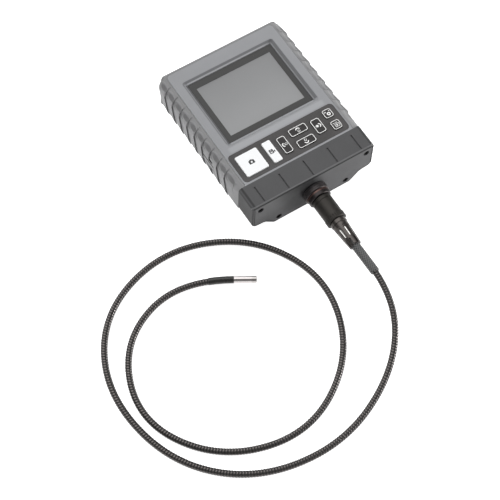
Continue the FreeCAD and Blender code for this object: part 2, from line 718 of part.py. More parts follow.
def key_cap(x, y, width, height):
    levels = key_levels()
    cap = plate_about(x, y, width, height, levels["flange_top"] - 0.5, TOP + KEY_RISE, 1.2)
    rim = [edge for edge in cap.Edges if edge.BoundBox.ZMin > TOP + KEY_RISE - 0.01]
    cap = cap.makeFillet(0.35, rim)
    flange = plate_about(x, y, width + 1.8, height + 1.8, levels["flange_low"], levels["flange_top"], 1.6)
    return cap.fuse(flange).removeSplitter()


def keypad_overlay():
    x0, x1, y0, y1 = PANEL
    sheet = plate(x0, x1, y0, y1, TOP - PANEL_THICK, TOP + 0.05, 3.5)
    openings = [
        plate_about(x, y, width + 2 * KEY_GAP, height + 2 * KEY_GAP, TOP - 3, TOP + 3, 1.4)
        for x, y, width, height in KEYS.values()]
    return cut_all(sheet, openings)


def key_mat():
    levels = key_levels()
    base_top = levels["board_top"] + 1.0
    sheet = plate(-45.6, 45.6, -37.6, -14.8, levels["board_top"], base_top, 1.5)
    domes = []
    for x, y, width, height in KEYS.values():
        radius = min(width, height) / 2 - 0.8
        low = min(radius, 3.2)
        domes.append(Part.makeCone(low, low * 0.55, levels["dome_top"] - base_top + 0.2, Vector(x, y, base_top - 0.2), Z))
    return fused([sheet] + domes)


def key_board():
    top = key_levels()["board_top"]
    board = plate(-45.8, 45.8, -41.8, -10.4, top - 1.6, top, 1.5)
    for x, y in key_posts():
        board = board.cut(rod(Vector(x, y, top - 5), Z, 1.05, 10))
    return board


def key_board_screws():
    low = key_levels()["board_top"] - 1.6
    return [screw(Vector(x, y, low), Z, 0.9, 4.4, 1.9, 1.2) for x, y in key_posts()]


# ---------------------------------------------------------------- electronics
def main_board():
    board = plate(-44.6, 44.6, -36.0, 74.0, BOARD_Z, BOARD_Z + BOARD_THICK, 2.0)
    tab = box(-52.6, -44.0, BAY[0] - 2.0, BAY[1] + 3.0, BOARD_Z, BOARD_Z + BOARD_THICK)
    board = fused([board, tab])
    for x, y in BOARD_POSTS:
        for side in (x, -x):
            board = board.cut(rod(Vector(side, y, 0), Z, 1.1, 40))
    return board


def board_screws():
    screws = []
    for x, y in BOARD_POSTS:
        for side in (x, -x):
            screws.append(screw(Vector(side, y, BOARD_Z + BOARD_THICK), -Z, 0.9, 5.6, 1.9, 1.2))
    return screws


def board_chips():
    """Packages soldered on the main board: x, y, width, length, height."""
    top = BOARD_Z + BOARD_THICK
    sizes = ((0.0, 26.0, 17.0, 17.0, 1.6), (24.0, 22.0, 12.0, 9.0, 1.1), (24.0, 8.0, 12.0, 9.0, 1.1),
             (-24.0, 36.0, 8.0, 8.0, 1.4), (-20.0, -14.0, 7.0, 5.0, 2.6), (14.0, -20.0, 9.0, 6.0, 1.6))
    return [
        plate_about(x, y, wide, tall, top, top + high, 0.4)
        for x, y, wide, tall, high in sizes]


def usb_socket():
    low = BOARD_Z + BOARD_THICK
    middle = (BAY[0] + BAY[1]) / 2
    shell = box(-54.0, -47.0, middle - 3.75, middle + 3.75, low, low + 2.9)
    mouth = box(-55.0, -48.0, middle - 3.4, middle + 3.4, low + 0.35, low + 2.55)
    tongue = box(-53.4, -47.5, middle - 2.6, middle + 2.6, low + 1.0, low + 1.6)
    return shell.cut(mouth).fuse(tongue).removeSplitter()


def card_socket():
    middle = (BAY[0] + BAY[1]) / 2
    shell = box(-53.6, -39.0, middle - 6.6, middle + 6.6, BOARD_Z - 1.8, BOARD_Z)
    slot = box(-55.0, -39.6, middle - 5.7, middle + 5.7, BOARD_Z - 1.45, BOARD_Z - 0.35)
    return shell.cut(slot)


def flat_cable(x, width, top, bottom, y, reach):
    """Flat cable folded like a C between the underside of one part and the top of another."""
    thick = 0.3
    profile = [
        (y + reach, top), (y, top), (y, bottom), (y + reach, bottom),
        (y + reach, bottom + thick), (y + thick, bottom + thick),
        (y + thick, top - thick), (y + reach, top - thick)]
    points = [Vector(x - width / 2, a, b) for a, b in profile]
    return Part.Face(Part.makePolygon(points + points[:1])).extrude(Vector(width, 0, 0))


def display_cable():
    return flat_cable(0.0, 24.0, lcd_top() - LCD_SIZE[2], BOARD_Z + BOARD_THICK, SCREEN_Y - 22.0, 5.0)


def keypad_cable():
    return flat_cable(0.0, 16.0, key_levels()["board_top"] - 1.6, BOARD_Z + BOARD_THICK, -32.0, 5.0)


# ---------------------------------------------------------------- battery
def battery_tray():
    half, y0, y1, z0, z1 = TRAY
    body = box(-half, half, y0, y1, z0, z1)
    room = box(-half + TRAY_WALL, half - TRAY_WALL, y0 + TRAY_WALL, y1 - TRAY_WALL, z0 - 1, z1 - TRAY_WALL)
    body = body.cut(room)
    fins = []
    for index in range(3):
        x = (index - 1) * CELL_PITCH
        fins.append(box(x - 0.35, x + 0.35, y0 + 8, y1 - 8, CELL_Z + 5.0, z1 - 0.5))
    return fused([body] + fins)


def cell_x(index):
    """Place of a cell across the tray."""
    return (index - 1.5) * CELL_PITCH


def cell_room():
    """Inner faces of the tray's end walls."""
    half, y0, y1, z0, z1 = TRAY
    return y0 + TRAY_WALL, y1 - TRAY_WALL


def cell_span(index):
    """Ends of a cell: (flat end y, nub end y); neighbours face opposite ways."""
    front, back = cell_room()
    if index % 2 == 0:
        return back - 0.5 - CELL_LONG, back - 0.5
    return front + 0.5 + CELL_LONG, front + 0.5


def cell(index):
    flat, nub = cell_span(index)
    way = 1 if nub > flat else -1
    axis = Vector(0, way, 0)
    start = Vector(cell_x(index), flat, CELL_Z)
    body = rod(start, axis, CELL_R, CELL_LONG - 1.2)
    rims = [edge for edge in body.Edges if isinstance(edge.Curve, Part.Circle)]
    body = body.makeChamfer(0.5, rims)
    return body.fuse(rod(start + axis * (CELL_LONG - 1.5), axis, 2.7, 1.5)).removeSplitter()


def contact_spring(index):
    """Leaf spring bowed out from a contact blade to a cell's flat end."""
    front, back = cell_room()
    flat, nub = cell_span(index)
    way = 1 if nub > flat else -1
    blade = front + BLADE if way > 0 else back - BLADE
    reach = abs(flat - blade)
    leaf = 0.35
    profile = [
        (0, -4.6), (reach, -1.4), (reach, 1.4), (0, 4.6),
        (0, 4.2), (reach - leaf, 1.15), (reach - leaf, -1.15), (0, -4.2)]
    points = [Vector(cell_x(index) - 2.5, blade + way * out, CELL_Z + up) for out, up in profile]
    return Part.Face(Part.makePolygon(points + points[:1])).extrude(Vector(5.0, 0, 0))


def battery_contacts():
    blades = []
    for index in range(4):
        for wall, way in zip(cell_room(), (1, -1)):
            y = sorted((wall, wall + way * BLADE))
            blades.append(box(cell_x(index) - 5.5, cell_x(index) + 5.5, y[0], y[1], CELL_Z - 5.0, CELL_Z + 5.5))
    return blades + [contact_spring(index) for index in range(4)]


# ---------------------------------------------------------------- port cover
def port_cover():
    y0, y1, z0, z1 = PORT
    px, pz = PORT_PIVOT
    t = COVER_HALF_THICK
    panel = box(px - t, px + t, y0 + SEAT, y1 - SEAT, pz, z1 - SEAT)
    barrel = rod(Vector(px, y0 + SEAT, pz), Y, t, y1 - y0 - 2 * SEAT)
    b0, b1, c0, c1 = BAY
    low = pz + 2.3
    plug = box(px + t - 0.2, -54.6, b0 + 0.3, b1 - 0.3, low, c1 - 0.8)
    room = box(px + t + 0.6, -54.0, b0 + 1.3, b1 - 1.3, low + 1.0, c1 - 1.8)
    nail = box(px - t - 1, px - t + 1.3, -5.2, 0.2, z1 - 1.7, z1)
    body = fused([panel, barrel, plug]).cut(room).cut(nail)
    return body.cut(rod(Vector(px, y0 - 5, pz), Y, PORT_PIN_R + RUN, 40))


def port_pin():
    y0, y1, z0, z1 = PORT
    px, pz = PORT_PIVOT
    return rod(Vector(px, y0 - PIN_REACH, pz), Y, PORT_PIN_R, y1 - y0 + 2 * PIN_REACH)


# ---------------------------------------------------------------- panel socket
def panel_socket():
    seat = CAP_FRONT - SEAL_THICK
    body = fused([
        turned(BUSH_R, 0, seat, BUSH_BACK),
        turned(FLANGE_R, 0, FLANGE_END, seat),
        turned(COLLAR_R, 0, COLLAR_END, FLANGE_END),
        turned(SOCKET_R, 0, SOCKET_TIP, COLLAR_END),
    ])
    rims = [
        edge for edge in body.Edges
        if isinstance(edge.Curve, Part.Circle) and abs(edge.Curve.Radius - FLANGE_R) < 1e-6
        or isinstance(edge.Curve, Part.Circle) and abs(edge.Curve.Radius - COLLAR_R) < 1e-6
        and edge.CenterOfMass.y < COLLAR_END + 0.1]
    body = body.makeChamfer(0.45, rims)
    bore = rod(on_axis(0), -Y, SOCKET_BORE_R, 100)
    cuts = [bore]
    for index in range(2):
        y = -65.4 - 2.2 * index
        ring = turned(FLANGE_R + 1, FLANGE_R - 0.35, y - 0.5, y)
        cuts.append(ring)
    cuts.append(box(-0.9, 0.9, SOCKET_TIP - 1, SOCKET_TIP + 4, AXIS_Z + 4.4, AXIS_Z + 5.9))
    return cut_all(body, cuts)


def socket_seal():
    return turned(FLANGE_R - 0.4, BUSH_R + TOUCH, CAP_FRONT - SEAL_THICK, CAP_FRONT)


def socket_nut():
    across = 19.0
    back = CAP_FRONT + CAP_FACE + 3.0
    corner = across / math.sqrt(3)
    points = []
    for index in range(7):
        angle = math.radians(60 * index + 30)
        points.append(Vector(corner * math.cos(angle), back, AXIS_Z + corner * math.sin(angle)))
    hexagon = Part.Face(Part.makePolygon(points)).extrude(Vector(0, -3.0, 0))
    return hexagon.cut(turned(BUSH_R + RUN, 0, CAP_FRONT, back + 1))


def pin_places():
    """Five contacts on a circle, seen along the connector's axis."""
    places = []
    for index in range(5):
        angle = math.radians(54 * index - 18)
        places.append((2.6 * math.cos(angle), 2.6 * math.sin(angle)))
    return places


def socket_insert():
    body = turned(SOCKET_BORE_R - TOUCH, 0, -69.0, BUSH_BACK)
    holes = [rod(Vector(x, 0, AXIS_Z + z), -Y, 0.5 + 0.02, 100) for x, z in pin_places()]
    return cut_all(body, holes)


def socket_pins():
    return [rod(Vector(x, BUSH_BACK + 2.5, AXIS_Z + z), -Y, 0.5, 29.5) for x, z in pin_places()]


# ---------------------------------------------------------------- plug
def plug_shell():
    skirt = turned(SOCKET_BORE_R - RUN, 4.1, -83.4, -76.5)
    flange = turned(SOCKET_R, 4.1, -85.2, -83.2)
    neck = turned(5.2, 4.1, PLUG_BACK, -85.2)
    thread = turned(4.6, 3.0, PLUG_BACK - 6.0, PLUG_BACK)
    washer = turned(5.2, 3.0, PLUG_BACK, PLUG_BACK + 1.0)
    return fused([skirt, flange, neck, thread, washer])


def plug_insert():
    body = turned(4.0, 0, -90.0, -76.6)
    holes = [rod(Vector(x, -70, AXIS_Z + z), -Y, 0.5 + RUN, 17.0) for x, z in pin_places()]
    return cut_all(body, holes)


def coupling_nut():
    body = turned(NUT_R, 0, NUT_BACK, NUT_FRONT)
    band = turned(NUT_R + 0.35, 0, NUT_BACK, NUT_BACK + KNURL_LONG)
    body = body.fuse(band)
    rims = [
        edge for edge in body.Edges
        if isinstance(edge.Curve, Part.Circle)
        and (edge.CenterOfMass.y > NUT_FRONT - 0.01 or edge.CenterOfMass.y < NUT_BACK + 0.01)]
    body = body.makeChamfer(0.45, rims)
    cuts = [
        turned(SOCKET_R + RUN, 0, -85.4, NUT_FRONT + 1),
        turned(5.2 + RUN, 0, NUT_BACK - 1, -84.0),
        turned(NUT_R + 2, NUT_R - 0.4, -78.2, -77.6),
    ]
    count = 30
    for index in range(count):
        angle = 2 * math.pi * index / count
        reach = NUT_R + 0.5
        start = Vector(reach * math.cos(angle), NUT_BACK + KNURL_LONG - 0.5, AXIS_Z + reach * math.sin(angle))
        cuts.append(rod(start, -Y, 0.5, KNURL_LONG - 1.0))
    return cut_all(body, cuts)


def cable_clamp():
    """Sleeve that grips the cable: a collar, eight flutes and a ring of rounded fingers."""
    long = PLUG_BACK - CLAMP_BACK
    collar = turned(6.9, 0, PLUG_BACK - 3.2, PLUG_BACK)
    cone = Part.makeCone(6.6, 5.1, long - 3.2, on_axis(PLUG_BACK - 3.2), -Y)
    body = fused([collar, cone])
    rims = [edge for edge in body.Edges if edge.BoundBox.YMax < CLAMP_BACK + 0.01]
    body = body.makeFillet(1.0, rims)
    cuts = [
        turned(4.6 + RUN, 0, PLUG_BACK - 6.2, PLUG_BACK + 1),
        turned(SLEEVE_R + RUN, 0, CLAMP_BACK - 1, PLUG_BACK - 6.0),
        turned(8.0, 6.3, PLUG_BACK - 3.7, PLUG_BACK - 3.2),
    ]
    slope = (6.6 - 5.1) / (long - 3.2)
    for index in range(8):
        angle = math.radians(45 * index)
        way = Vector(math.cos(angle), 0, math.sin(angle))
        start = on_axis(PLUG_BACK - 7.0) + way * 6.7
        along = Vector(0, -1, 0) - way * slope
        along.normalize()
        flute = rod(start, along, 0.85, 10.0)
        cuts.append(flute.fuse(Part.makeSphere(0.85, start)).fuse(Part.makeSphere(0.85, start + along * 10.0)))
    for index in range(8):
        angle = 45 * index + 22.5
        slit = box(-0.55, 0.55, CLAMP_BACK - 1, CLAMP_BACK + 6.5, AXIS_Z + 3.0, AXIS_Z + 9.0)
        slit.rotate(on_axis(0), Y, angle)
        cuts.append(slit)
    return cut_all(body, cuts)


def strain_sleeve():
    front = PLUG_BACK - 12.0
    body = turned(SLEEVE_R, 0, SLEEVE_BACK, front)
    rims = [edge for edge in body.Edges if isinstance(edge.Curve, Part.Circle) and edge.CenterOfMass.y < SLEEVE_BACK + 0.01]
    body = body.makeChamfer(0.6, rims)
    start = Vector(*ROUTE[0])
    way = Vector(*ROUTE[1]) - start
    way.normalize()
    return body.cut(rod(start, way, NECK_R + RUN, 10))


# ---------------------------------------------------------------- gooseneck and head
def gooseneck():
    points = [Vector(*place) for place in ROUTE]
    edges = []
    start = points[0]
    for before, here, after in zip(points, points[1:], points[2:]):
        back = before - here
        ahead = after - here
        reach = BEND_SHARE * min(back.Length, ahead.Length)
        back.normalize()
        ahead.normalize()
        half = back.getAngle(ahead) / 2
        radius = reach * math.tan(half)
        middle = back + ahead
        middle.normalize()
        enter = here + back * reach
        leave = here + ahead * reach
        crown = here + middle * (radius / math.sin(half) - radius)
        print("bend radius", round(radius, 1), "turn", round(180 - math.degrees(2 * half), 1))
        edges.append(Part.LineSegment(start, enter).toShape())
        edges.append(Part.Arc(enter, crown, leave).toShape())
        start = leave
    edges.append(Part.LineSegment(start, points[-1]).toShape())
    path = Part.Wire(edges)
    first = points[1] - points[0]
    first.normalize()
    profile = Part.Wire(Part.makeCircle(NECK_R, points[0], first))
    neck = path.makePipeShell([profile], True, True)
    wanted = math.pi * NECK_R ** 2 * path.Length
    print("gooseneck length", round(path.Length, 1), "volume over section", round(neck.Volume / wanted, 4))
    return neck


def head_frame():
    """Start and direction of the camera head."""
    end = Vector(*ROUTE[-1])
    way = end - Vector(*ROUTE[-2])
    way.normalize()
    return end, way


def end_ferrule():
    end, way = head_frame()
    return tube(end - way * FERRULE_LONG, way, FERRULE_R, NECK_R + RUN, FERRULE_LONG)


def head_shell():
    end, way = head_frame()
    long = HEAD_LONG - 4.0
    body = rod(end, way, HEAD_R, long)
    return body.cut(rod(end + way * 2.0, way, HEAD_R - 0.35, long))


def lens_ring():
    end, way = head_frame()
    start = end + way * (HEAD_LONG - 4.0)
    body = rod(start, way, HEAD_R, 4.0)
    body = body.makeChamfer(0.3, [edge for edge in body.Edges if abs((edge.CenterOfMass - start).dot(way) - 4.0) < 1e-6][:1])
    body = body.cut(rod(start, way, HEAD_R - 0.35, 3.4))
    return body.cut(rod(start, way, HEAD_R - 0.55, 5.0))


def head_window():
    end, way = head_frame()
    start = end + way * (HEAD_LONG - 1.2)
    return rod(start, way, HEAD_R - 0.4, 0.58)


def head_lens():
    end, way = head_frame()
    start = end + way * (HEAD_LONG - 6.2)
    barrel = rod(start, way, 1.1, 4.9)
    glass = Part.makeSphere(1.6, start + way * (4.9 - 1.2))
    return barrel.common(rod(start, way, 1.1, 4.6).fuse(glass))


def head_lights():
    """Four small lamps round the lens."""
    end, way = head_frame()
    start = end + way * (HEAD_LONG - 2.2)
    side = way.cross(Z)
    lamps = []
    for index in range(4):
        angle = math.radians(90 * index + 45)
        offset = side * (1.7 * math.cos(angle)) + Z * (1.7 * math.sin(angle))
        lamps.append(rod(start + offset, way, 0.42, 0.9))
    return lamps


def sensor_board():
    end, way = head_frame()
    start = end + way * (HEAD_LONG - 7.4)
    disc = rod(start, way, HEAD_R - 0.4, 1.1)
    holder = tube(start + way * 1.1, way, HEAD_R - 0.4, 1.15, 4.0)
    return disc.fuse(holder).removeSplitter()


# ---------------------------------------------------------------- all nodes
def build():
    os.makedirs("parts", exist_ok=True)
    save("front_shell", front_shell())
    save("back_shell", back_shell())
    save("grip_boot", grip_boot())
    save("end_cap", end_cap())
    save("end_cap_screws", end_cap_screws())
    save("case_screws", case_screws())
    save("screen_window", screen_window())
    save("window_gasket", window_gasket())
    save("lcd_panel", lcd_panel())
    save("lcd_bracket", lcd_bracket())
    save("bracket_screws", bracket_screws())
    save("keypad_overlay", keypad_overlay())
    for name, (x, y, width, height) in KEYS.items():
        save(name, key_cap(x, y, width, height))
    save("key_mat", key_mat())
    save("key_board", key_board())
    save("key_board_screws", key_board_screws())
    save("main_board", main_board())
    save("board_screws", board_screws())
    save("board_chips", board_chips())
    save("usb_socket", usb_socket())
    save("card_socket", card_socket())
    save("display_cable", display_cable())
    save("keypad_cable", keypad_cable())
    save("battery_tray", battery_tray())
    for index in range(4):
        save("battery_cell_" + str(index + 1), cell(index))
    save("battery_contacts", battery_contacts())
    save("battery_door", battery_door())
    save("port_cover", port_cover())
    save("port_pin", port_pin())
    save("panel_socket", panel_socket())
    save("socket_seal", socket_seal())
    save("socket_nut", socket_nut())
    save("socket_insert", socket_insert())
    save("socket_pins", socket_pins())
    save("plug_shell", plug_shell())
    save("plug_insert", plug_insert())
    save("coupling_nut", coupling_nut())
    save("cable_clamp", cable_clamp())
    save("strain_sleeve", strain_sleeve())
    save("gooseneck", gooseneck())
    save("end_ferrule", end_ferrule())
    save("head_shell", head_shell())
    save("lens_ring", lens_ring())
    save("head_window", head_window())
    save("head_lens", head_lens())
    save("head_lights", head_lights())
    save("sensor_board", sensor_board())


build()
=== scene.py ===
"""Dresses the inspection camera: its finishes, printed keys, wound gooseneck, studio and camera."""

import json
import logging
import math
from dataclasses import dataclass
from enum import Enum
from typing import Iterable, Mapping, Sequence

import bmesh
import bpy
from mathutils import Matrix, Vector

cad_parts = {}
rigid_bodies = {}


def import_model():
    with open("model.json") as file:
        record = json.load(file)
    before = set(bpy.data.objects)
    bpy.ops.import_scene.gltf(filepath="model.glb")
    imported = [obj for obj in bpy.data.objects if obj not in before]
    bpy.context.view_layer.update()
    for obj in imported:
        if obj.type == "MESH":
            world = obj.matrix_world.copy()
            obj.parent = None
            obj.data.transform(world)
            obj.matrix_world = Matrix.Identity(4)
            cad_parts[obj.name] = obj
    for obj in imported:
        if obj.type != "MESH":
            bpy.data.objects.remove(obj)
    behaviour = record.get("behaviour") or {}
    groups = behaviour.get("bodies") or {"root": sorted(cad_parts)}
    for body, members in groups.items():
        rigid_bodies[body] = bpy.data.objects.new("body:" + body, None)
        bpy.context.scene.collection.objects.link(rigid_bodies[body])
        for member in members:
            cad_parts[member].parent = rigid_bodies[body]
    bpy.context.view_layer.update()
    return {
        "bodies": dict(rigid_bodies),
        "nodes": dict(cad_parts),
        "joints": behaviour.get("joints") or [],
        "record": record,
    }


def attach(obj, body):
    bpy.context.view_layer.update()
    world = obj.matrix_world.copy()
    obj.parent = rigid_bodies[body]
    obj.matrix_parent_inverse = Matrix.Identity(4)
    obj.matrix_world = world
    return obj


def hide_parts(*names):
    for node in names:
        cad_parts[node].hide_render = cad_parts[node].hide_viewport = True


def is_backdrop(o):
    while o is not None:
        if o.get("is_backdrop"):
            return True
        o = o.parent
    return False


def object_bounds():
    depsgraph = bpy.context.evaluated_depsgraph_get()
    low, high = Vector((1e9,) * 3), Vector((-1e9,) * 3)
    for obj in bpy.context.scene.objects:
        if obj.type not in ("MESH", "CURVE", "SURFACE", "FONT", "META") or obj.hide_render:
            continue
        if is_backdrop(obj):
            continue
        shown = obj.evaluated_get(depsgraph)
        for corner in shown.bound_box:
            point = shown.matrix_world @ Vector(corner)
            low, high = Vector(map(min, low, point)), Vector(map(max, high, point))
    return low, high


LOG = logging.getLogger("inspection_camera")
MM = 0.001
Colour = tuple[float, float, float]
Point = tuple[float, float]
Place = tuple[float, float, float]
Shade = Colour | bpy.types.NodeSocket
COLOUR_INPUTS = (6, 7)  # a Mix node's sockets for colours
COLOUR_OUTPUT = 2
WHITE = (1.0, 1.0, 1.0)


def paint(red: float, green: float, blue: float) -> Colour:
    """Gives the linear colour of three display values.

    Args:
        red: Red, from 0 to 255.
        green: Green, from 0 to 255.
        blue: Blue, from 0 to 255.

    Returns:
        The same colour in linear light.
    """
    parts = []
    for shown in (red, green, blue):
        share = shown / 255.0
        parts.append(share / 12.92 if share <= 0.04045 else ((share + 0.055) / 1.055) ** 2.4)
    return tuple(parts)


# ---------------------------------------------------------------- shader maths
class Value:
    """A number that varies over a surface, and that adds its own Math nodes."""

    def __init__(self, tree: "ShaderTree", socket: bpy.types.NodeSocket) -> None:
        """Wraps a socket of a tree."""
        self.tree = tree
        self.socket = socket

    def _math(self, operation: str, *terms: "Value | float") -> "Value":
        """Adds a Math node with those values in its sockets, and gives its result."""
        node = self.tree.node("ShaderNodeMath", {"operation": operation}, dict(enumerate(terms)))
        return Value(self.tree, node.outputs[0])

    def __add__(self, other: "Value | float") -> "Value":
        """Gives self + other."""
        return self._math("ADD", self, other)

    def __radd__(self, other: float) -> "Value":
        """Gives other + self."""
        return self._math("ADD", other, self)

    def __sub__(self, other: "Value | float") -> "Value":
        """Gives self - other."""
        return self._math("SUBTRACT", self, other)

    def __rsub__(self, other: float) -> "Value":
        """Gives other - self."""
        return self._math("SUBTRACT", other, self)

    def __mul__(self, other: "Value | float") -> "Value":
        """Gives self * other."""
        return self._math("MULTIPLY", self, other)

    def __rmul__(self, other: float) -> "Value":
        """Gives other * self."""
        return self._math("MULTIPLY", other, self)

    def __truediv__(self, other: "Value | float") -> "Value":
        """Gives self / other."""
        return self._math("DIVIDE", self, other)

    def __rtruediv__(self, other: float) -> "Value":
        """Gives other / self."""
        return self._math("DIVIDE", other, self)

    def __abs__(self) -> "Value":
        """Gives the size without the sign."""
        return self._math("ABSOLUTE", self)

    def power(self, exponent: float) -> "Value":
        """Gives self raised to a power."""
        return self._math("POWER", self, exponent)

    def fraction(self) -> "Value":
        """Gives the part after the decimal point."""
        return self._math("FRACT", self)

    def larger(self, other: "Value | float") -> "Value":
        """Gives the larger of self and other."""
        return self._math("MAXIMUM", self, other)

    def fade(self, start: float, end: float) -> "Value":
        """Goes smoothly from 0 at start to 1 at end.

        Args:
            start: The value that gives 0.
            end: The value that gives 1; it may be below start.

        Returns:
            The faded value.
        """
        settings = {"interpolation_type": "SMOOTHSTEP"}
        sockets = {"Value": self, "From Min": start, "From Max": end}
        if end < start:
            sockets = {"Value": self, "From Min": end, "From Max": start, "To Min": 1.0, "To Max": 0.0}
        return Value(self.tree, self.tree.node("ShaderNodeMapRange", settings, sockets).outputs[0])

    def spread(self, middle: float, width: float) -> "Value":
        """Stretches a value from 0 to 1 to that width about a middle."""
        return self * width + (middle - width / 2)

    def off_centre(self, pitch: float) -> "Value":
        """Gives the distance from the middle of the cell of that pitch, as a share of the pitch."""
        return abs((self / pitch).fraction() - 0.5)

    def within(self, middle: float, half: float, edge: float) -> "Value":
        """Gives 1 round a middle, fading over the edge to 0 at half from it."""
        return abs(self - middle).fade(half, half - edge)


class ShaderTree:
    """The nodes of a material or a room, round its one shader."""

    def __init__(self, owner: bpy.types.Material | bpy.types.World, shader: str) -> None:
        """Opens the nodes of a new owner.

        Args:
            owner: The material or the room.
            shader: The name of its shader node.
        """
        owner.use_nodes = True
        self.owner = owner
        self.nodes = owner.node_tree.nodes
        self.links = owner.node_tree.links
        self.shader = self.nodes[shader]
        self._place = None

    @classmethod
    def of_material(cls, name: str) -> "ShaderTree":
        """Starts a new material with that name."""
        return cls(bpy.data.materials.new(name), "Principled BSDF")

    @classmethod
    def of_room(cls, name: str) -> "ShaderTree":
        """Starts a new room with that name."""
        return cls(bpy.data.worlds.new(name), "Background")

    def node(
        self,
        kind: str,
        settings: Mapping[str, object] | None = None,
        sockets: Mapping[str | int, object] | None = None,
    ) -> bpy.types.Node:
        """Adds a node.

        Args:
            kind: The node's type.
            settings: Its own properties, set first.
            sockets: Values or links of its input sockets, by name or number.

        Returns:
            The new node.
        """
        made = self.nodes.new(kind)
        for name, setting in (settings or {}).items():
            setattr(made, name, setting)
        for name, given in (sockets or {}).items():
            self.feed(made.inputs[name], given)
        return made

    def feed(self, socket: bpy.types.NodeSocket, given: object) -> None:
        """Fills an input socket.

        Args:
            socket: The input socket.
            given: A value or an output socket to link to it, or its number, vector or colour.
        """
        if isinstance(given, Value):
            self.links.new(given.socket, socket)
        elif isinstance(given, bpy.types.NodeSocket):
            self.links.new(given, socket)
        elif socket.type == "RGBA" and len(given) == 3:
            socket.default_value = (*given, 1.0)
        else:
            socket.default_value = given

    def value(self, socket: bpy.types.NodeSocket) -> Value:
        """Wraps a socket as a value."""
        return Value(self, socket)

    def place(self) -> bpy.types.NodeSocket:
        """Gives the point of the surface, made once.

        Returns:
            Its place in the shared frame, in metres.
        """
        if self._place is None:
            self._place = self.node("ShaderNodeTexCoord").outputs["Object"]
        return self._place

    def axes(self) -> tuple[Value, Value, Value]:
        """Gives the three coordinates of the surface, in millimetres."""
        parts = self.node("ShaderNodeSeparateXYZ", sockets={0: self.place()})
        return tuple(Value(self, part) * (1.0 / MM) for part in parts.outputs)

    def stretched(self, stretch: Place) -> bpy.types.NodeSocket:
        """Gives the point of the surface with each axis stretched."""
        return self.node("ShaderNodeMapping", sockets={"Vector": self.place(), "Scale": stretch}).outputs[0]

    def noise(self, size_mm: float, detail: float = 3.0, stretch: Place = (1.0, 1.0, 1.0)) -> Value:
        """Adds noise.

        Args:
            size_mm: The rough size of its spots in millimetres.
            detail: How many finer layers it has.
            stretch: How much faster it changes along each axis.

        Returns:
            The noise, from 0 to 1 about 0.5.
        """
        sockets = {"Vector": self.stretched(stretch), "Scale": 1.0 / (size_mm * MM), "Detail": detail}
        return self.value(self.node("ShaderNodeTexNoise", sockets=sockets).outputs["Fac"])

    def cells(self, size_mm: float) -> Value:
        """Gives the distance to the nearest of scattered points, of that spacing."""
        sockets = {"Vector": self.place(), "Scale": 1.0 / (size_mm * MM)}
        return self.value(self.node("ShaderNodeTexVoronoi", sockets=sockets).outputs["Distance"])

    def blend(self, mask: Value, first: Shade, second: Shade) -> bpy.types.NodeSocket:
        """Mixes two colours.

        Args:
            mask: 0 gives the first colour and 1 the second.
            first: A colour or a colour socket.
            second: A colour or a colour socket.

        Returns:
            The mixed colour.
        """
        made = self.node("ShaderNodeMix", {"data_type": "RGBA"}, {"Factor": mask})
        for number, shade in zip(COLOUR_INPUTS, (first, second)):
            self.feed(made.inputs[number], shade)
        return made.outputs[COLOUR_OUTPUT]

    def bumps(self, height: Value, depth_mm: float) -> bpy.types.NodeSocket:
        """Turns a height from 0 to 1 into a normal, 1 standing that many millimetres high."""
        sockets = {"Height": height, "Distance": depth_mm * MM, "Strength": 1.0}
        return self.node("ShaderNodeBump", sockets=sockets).outputs[0]

    def aimed(self, way: Place) -> Value:
        """Compares the direction looked at in the room with a way.

        Args:
            way: The way, of any length.

        Returns:
            How far the direction points along the way, from -1 to 1.
        """
        heading = self.node("ShaderNodeTexCoord").outputs["Generated"]
        unit = tuple(Vector(way).normalized())
        dot = self.node("ShaderNodeVectorMath", {"operation": "DOT_PRODUCT"}, {0: heading, 1: unit})
        return self.value(dot.outputs["Value"])

    def surface(self, **sockets: object) -> bpy.types.Material | bpy.types.World:
        """Sets the shader's sockets.

        Args:
            **sockets: Socket names in small letters with _ for a space, and their values.

        Returns:
            The finished material or room.
        """
        for name, given in sockets.items():
            title = " ".join(word if word == "IOR" else word.capitalize() for word in name.split("_"))
            self.feed(self.shader.inputs[title], given)
        return self.owner


# ---------------------------------------------------------------- finishes
def beyond(x: Value, y: Value, middle: Point, half: Point) -> Value:
    """Gives how far a point lies outside a rectangle with that middle and half size."""
    return (abs(x - middle[0]) - half[0]).larger(abs(y - middle[1]) - half[1])


def toned(colour: Colour, share: float) -> Colour:
    """Gives a lighter or darker tone of a colour."""
    return tuple(part * share for part in colour)


class Grain(Enum):
    """The texture that a mould leaves: the size and the depth of its spots, in millimetres."""

    SPARK = (0.35, 0.035)
    SATIN = (0.9, 0.02)
    SMOOTH = (6.0, 0.02)


@dataclass(frozen=True)
class Finish:
    """What a piece is finished in, and the name of its material.

    Lengths are in millimetres. A pair that a mark fades over holds the value at which the mark is
    absent and then the one at which it is full.
    """

    name: str

    def sockets(self, tree: ShaderTree) -> dict[str, object]:
        """Gives what each of the shader's sockets holds, by name."""
        raise NotImplementedError

    def build(self) -> bpy.types.Material:
        """Makes the material."""
        tree = ShaderTree.of_material(self.name)
        return tree.surface(**self.sockets(tree))


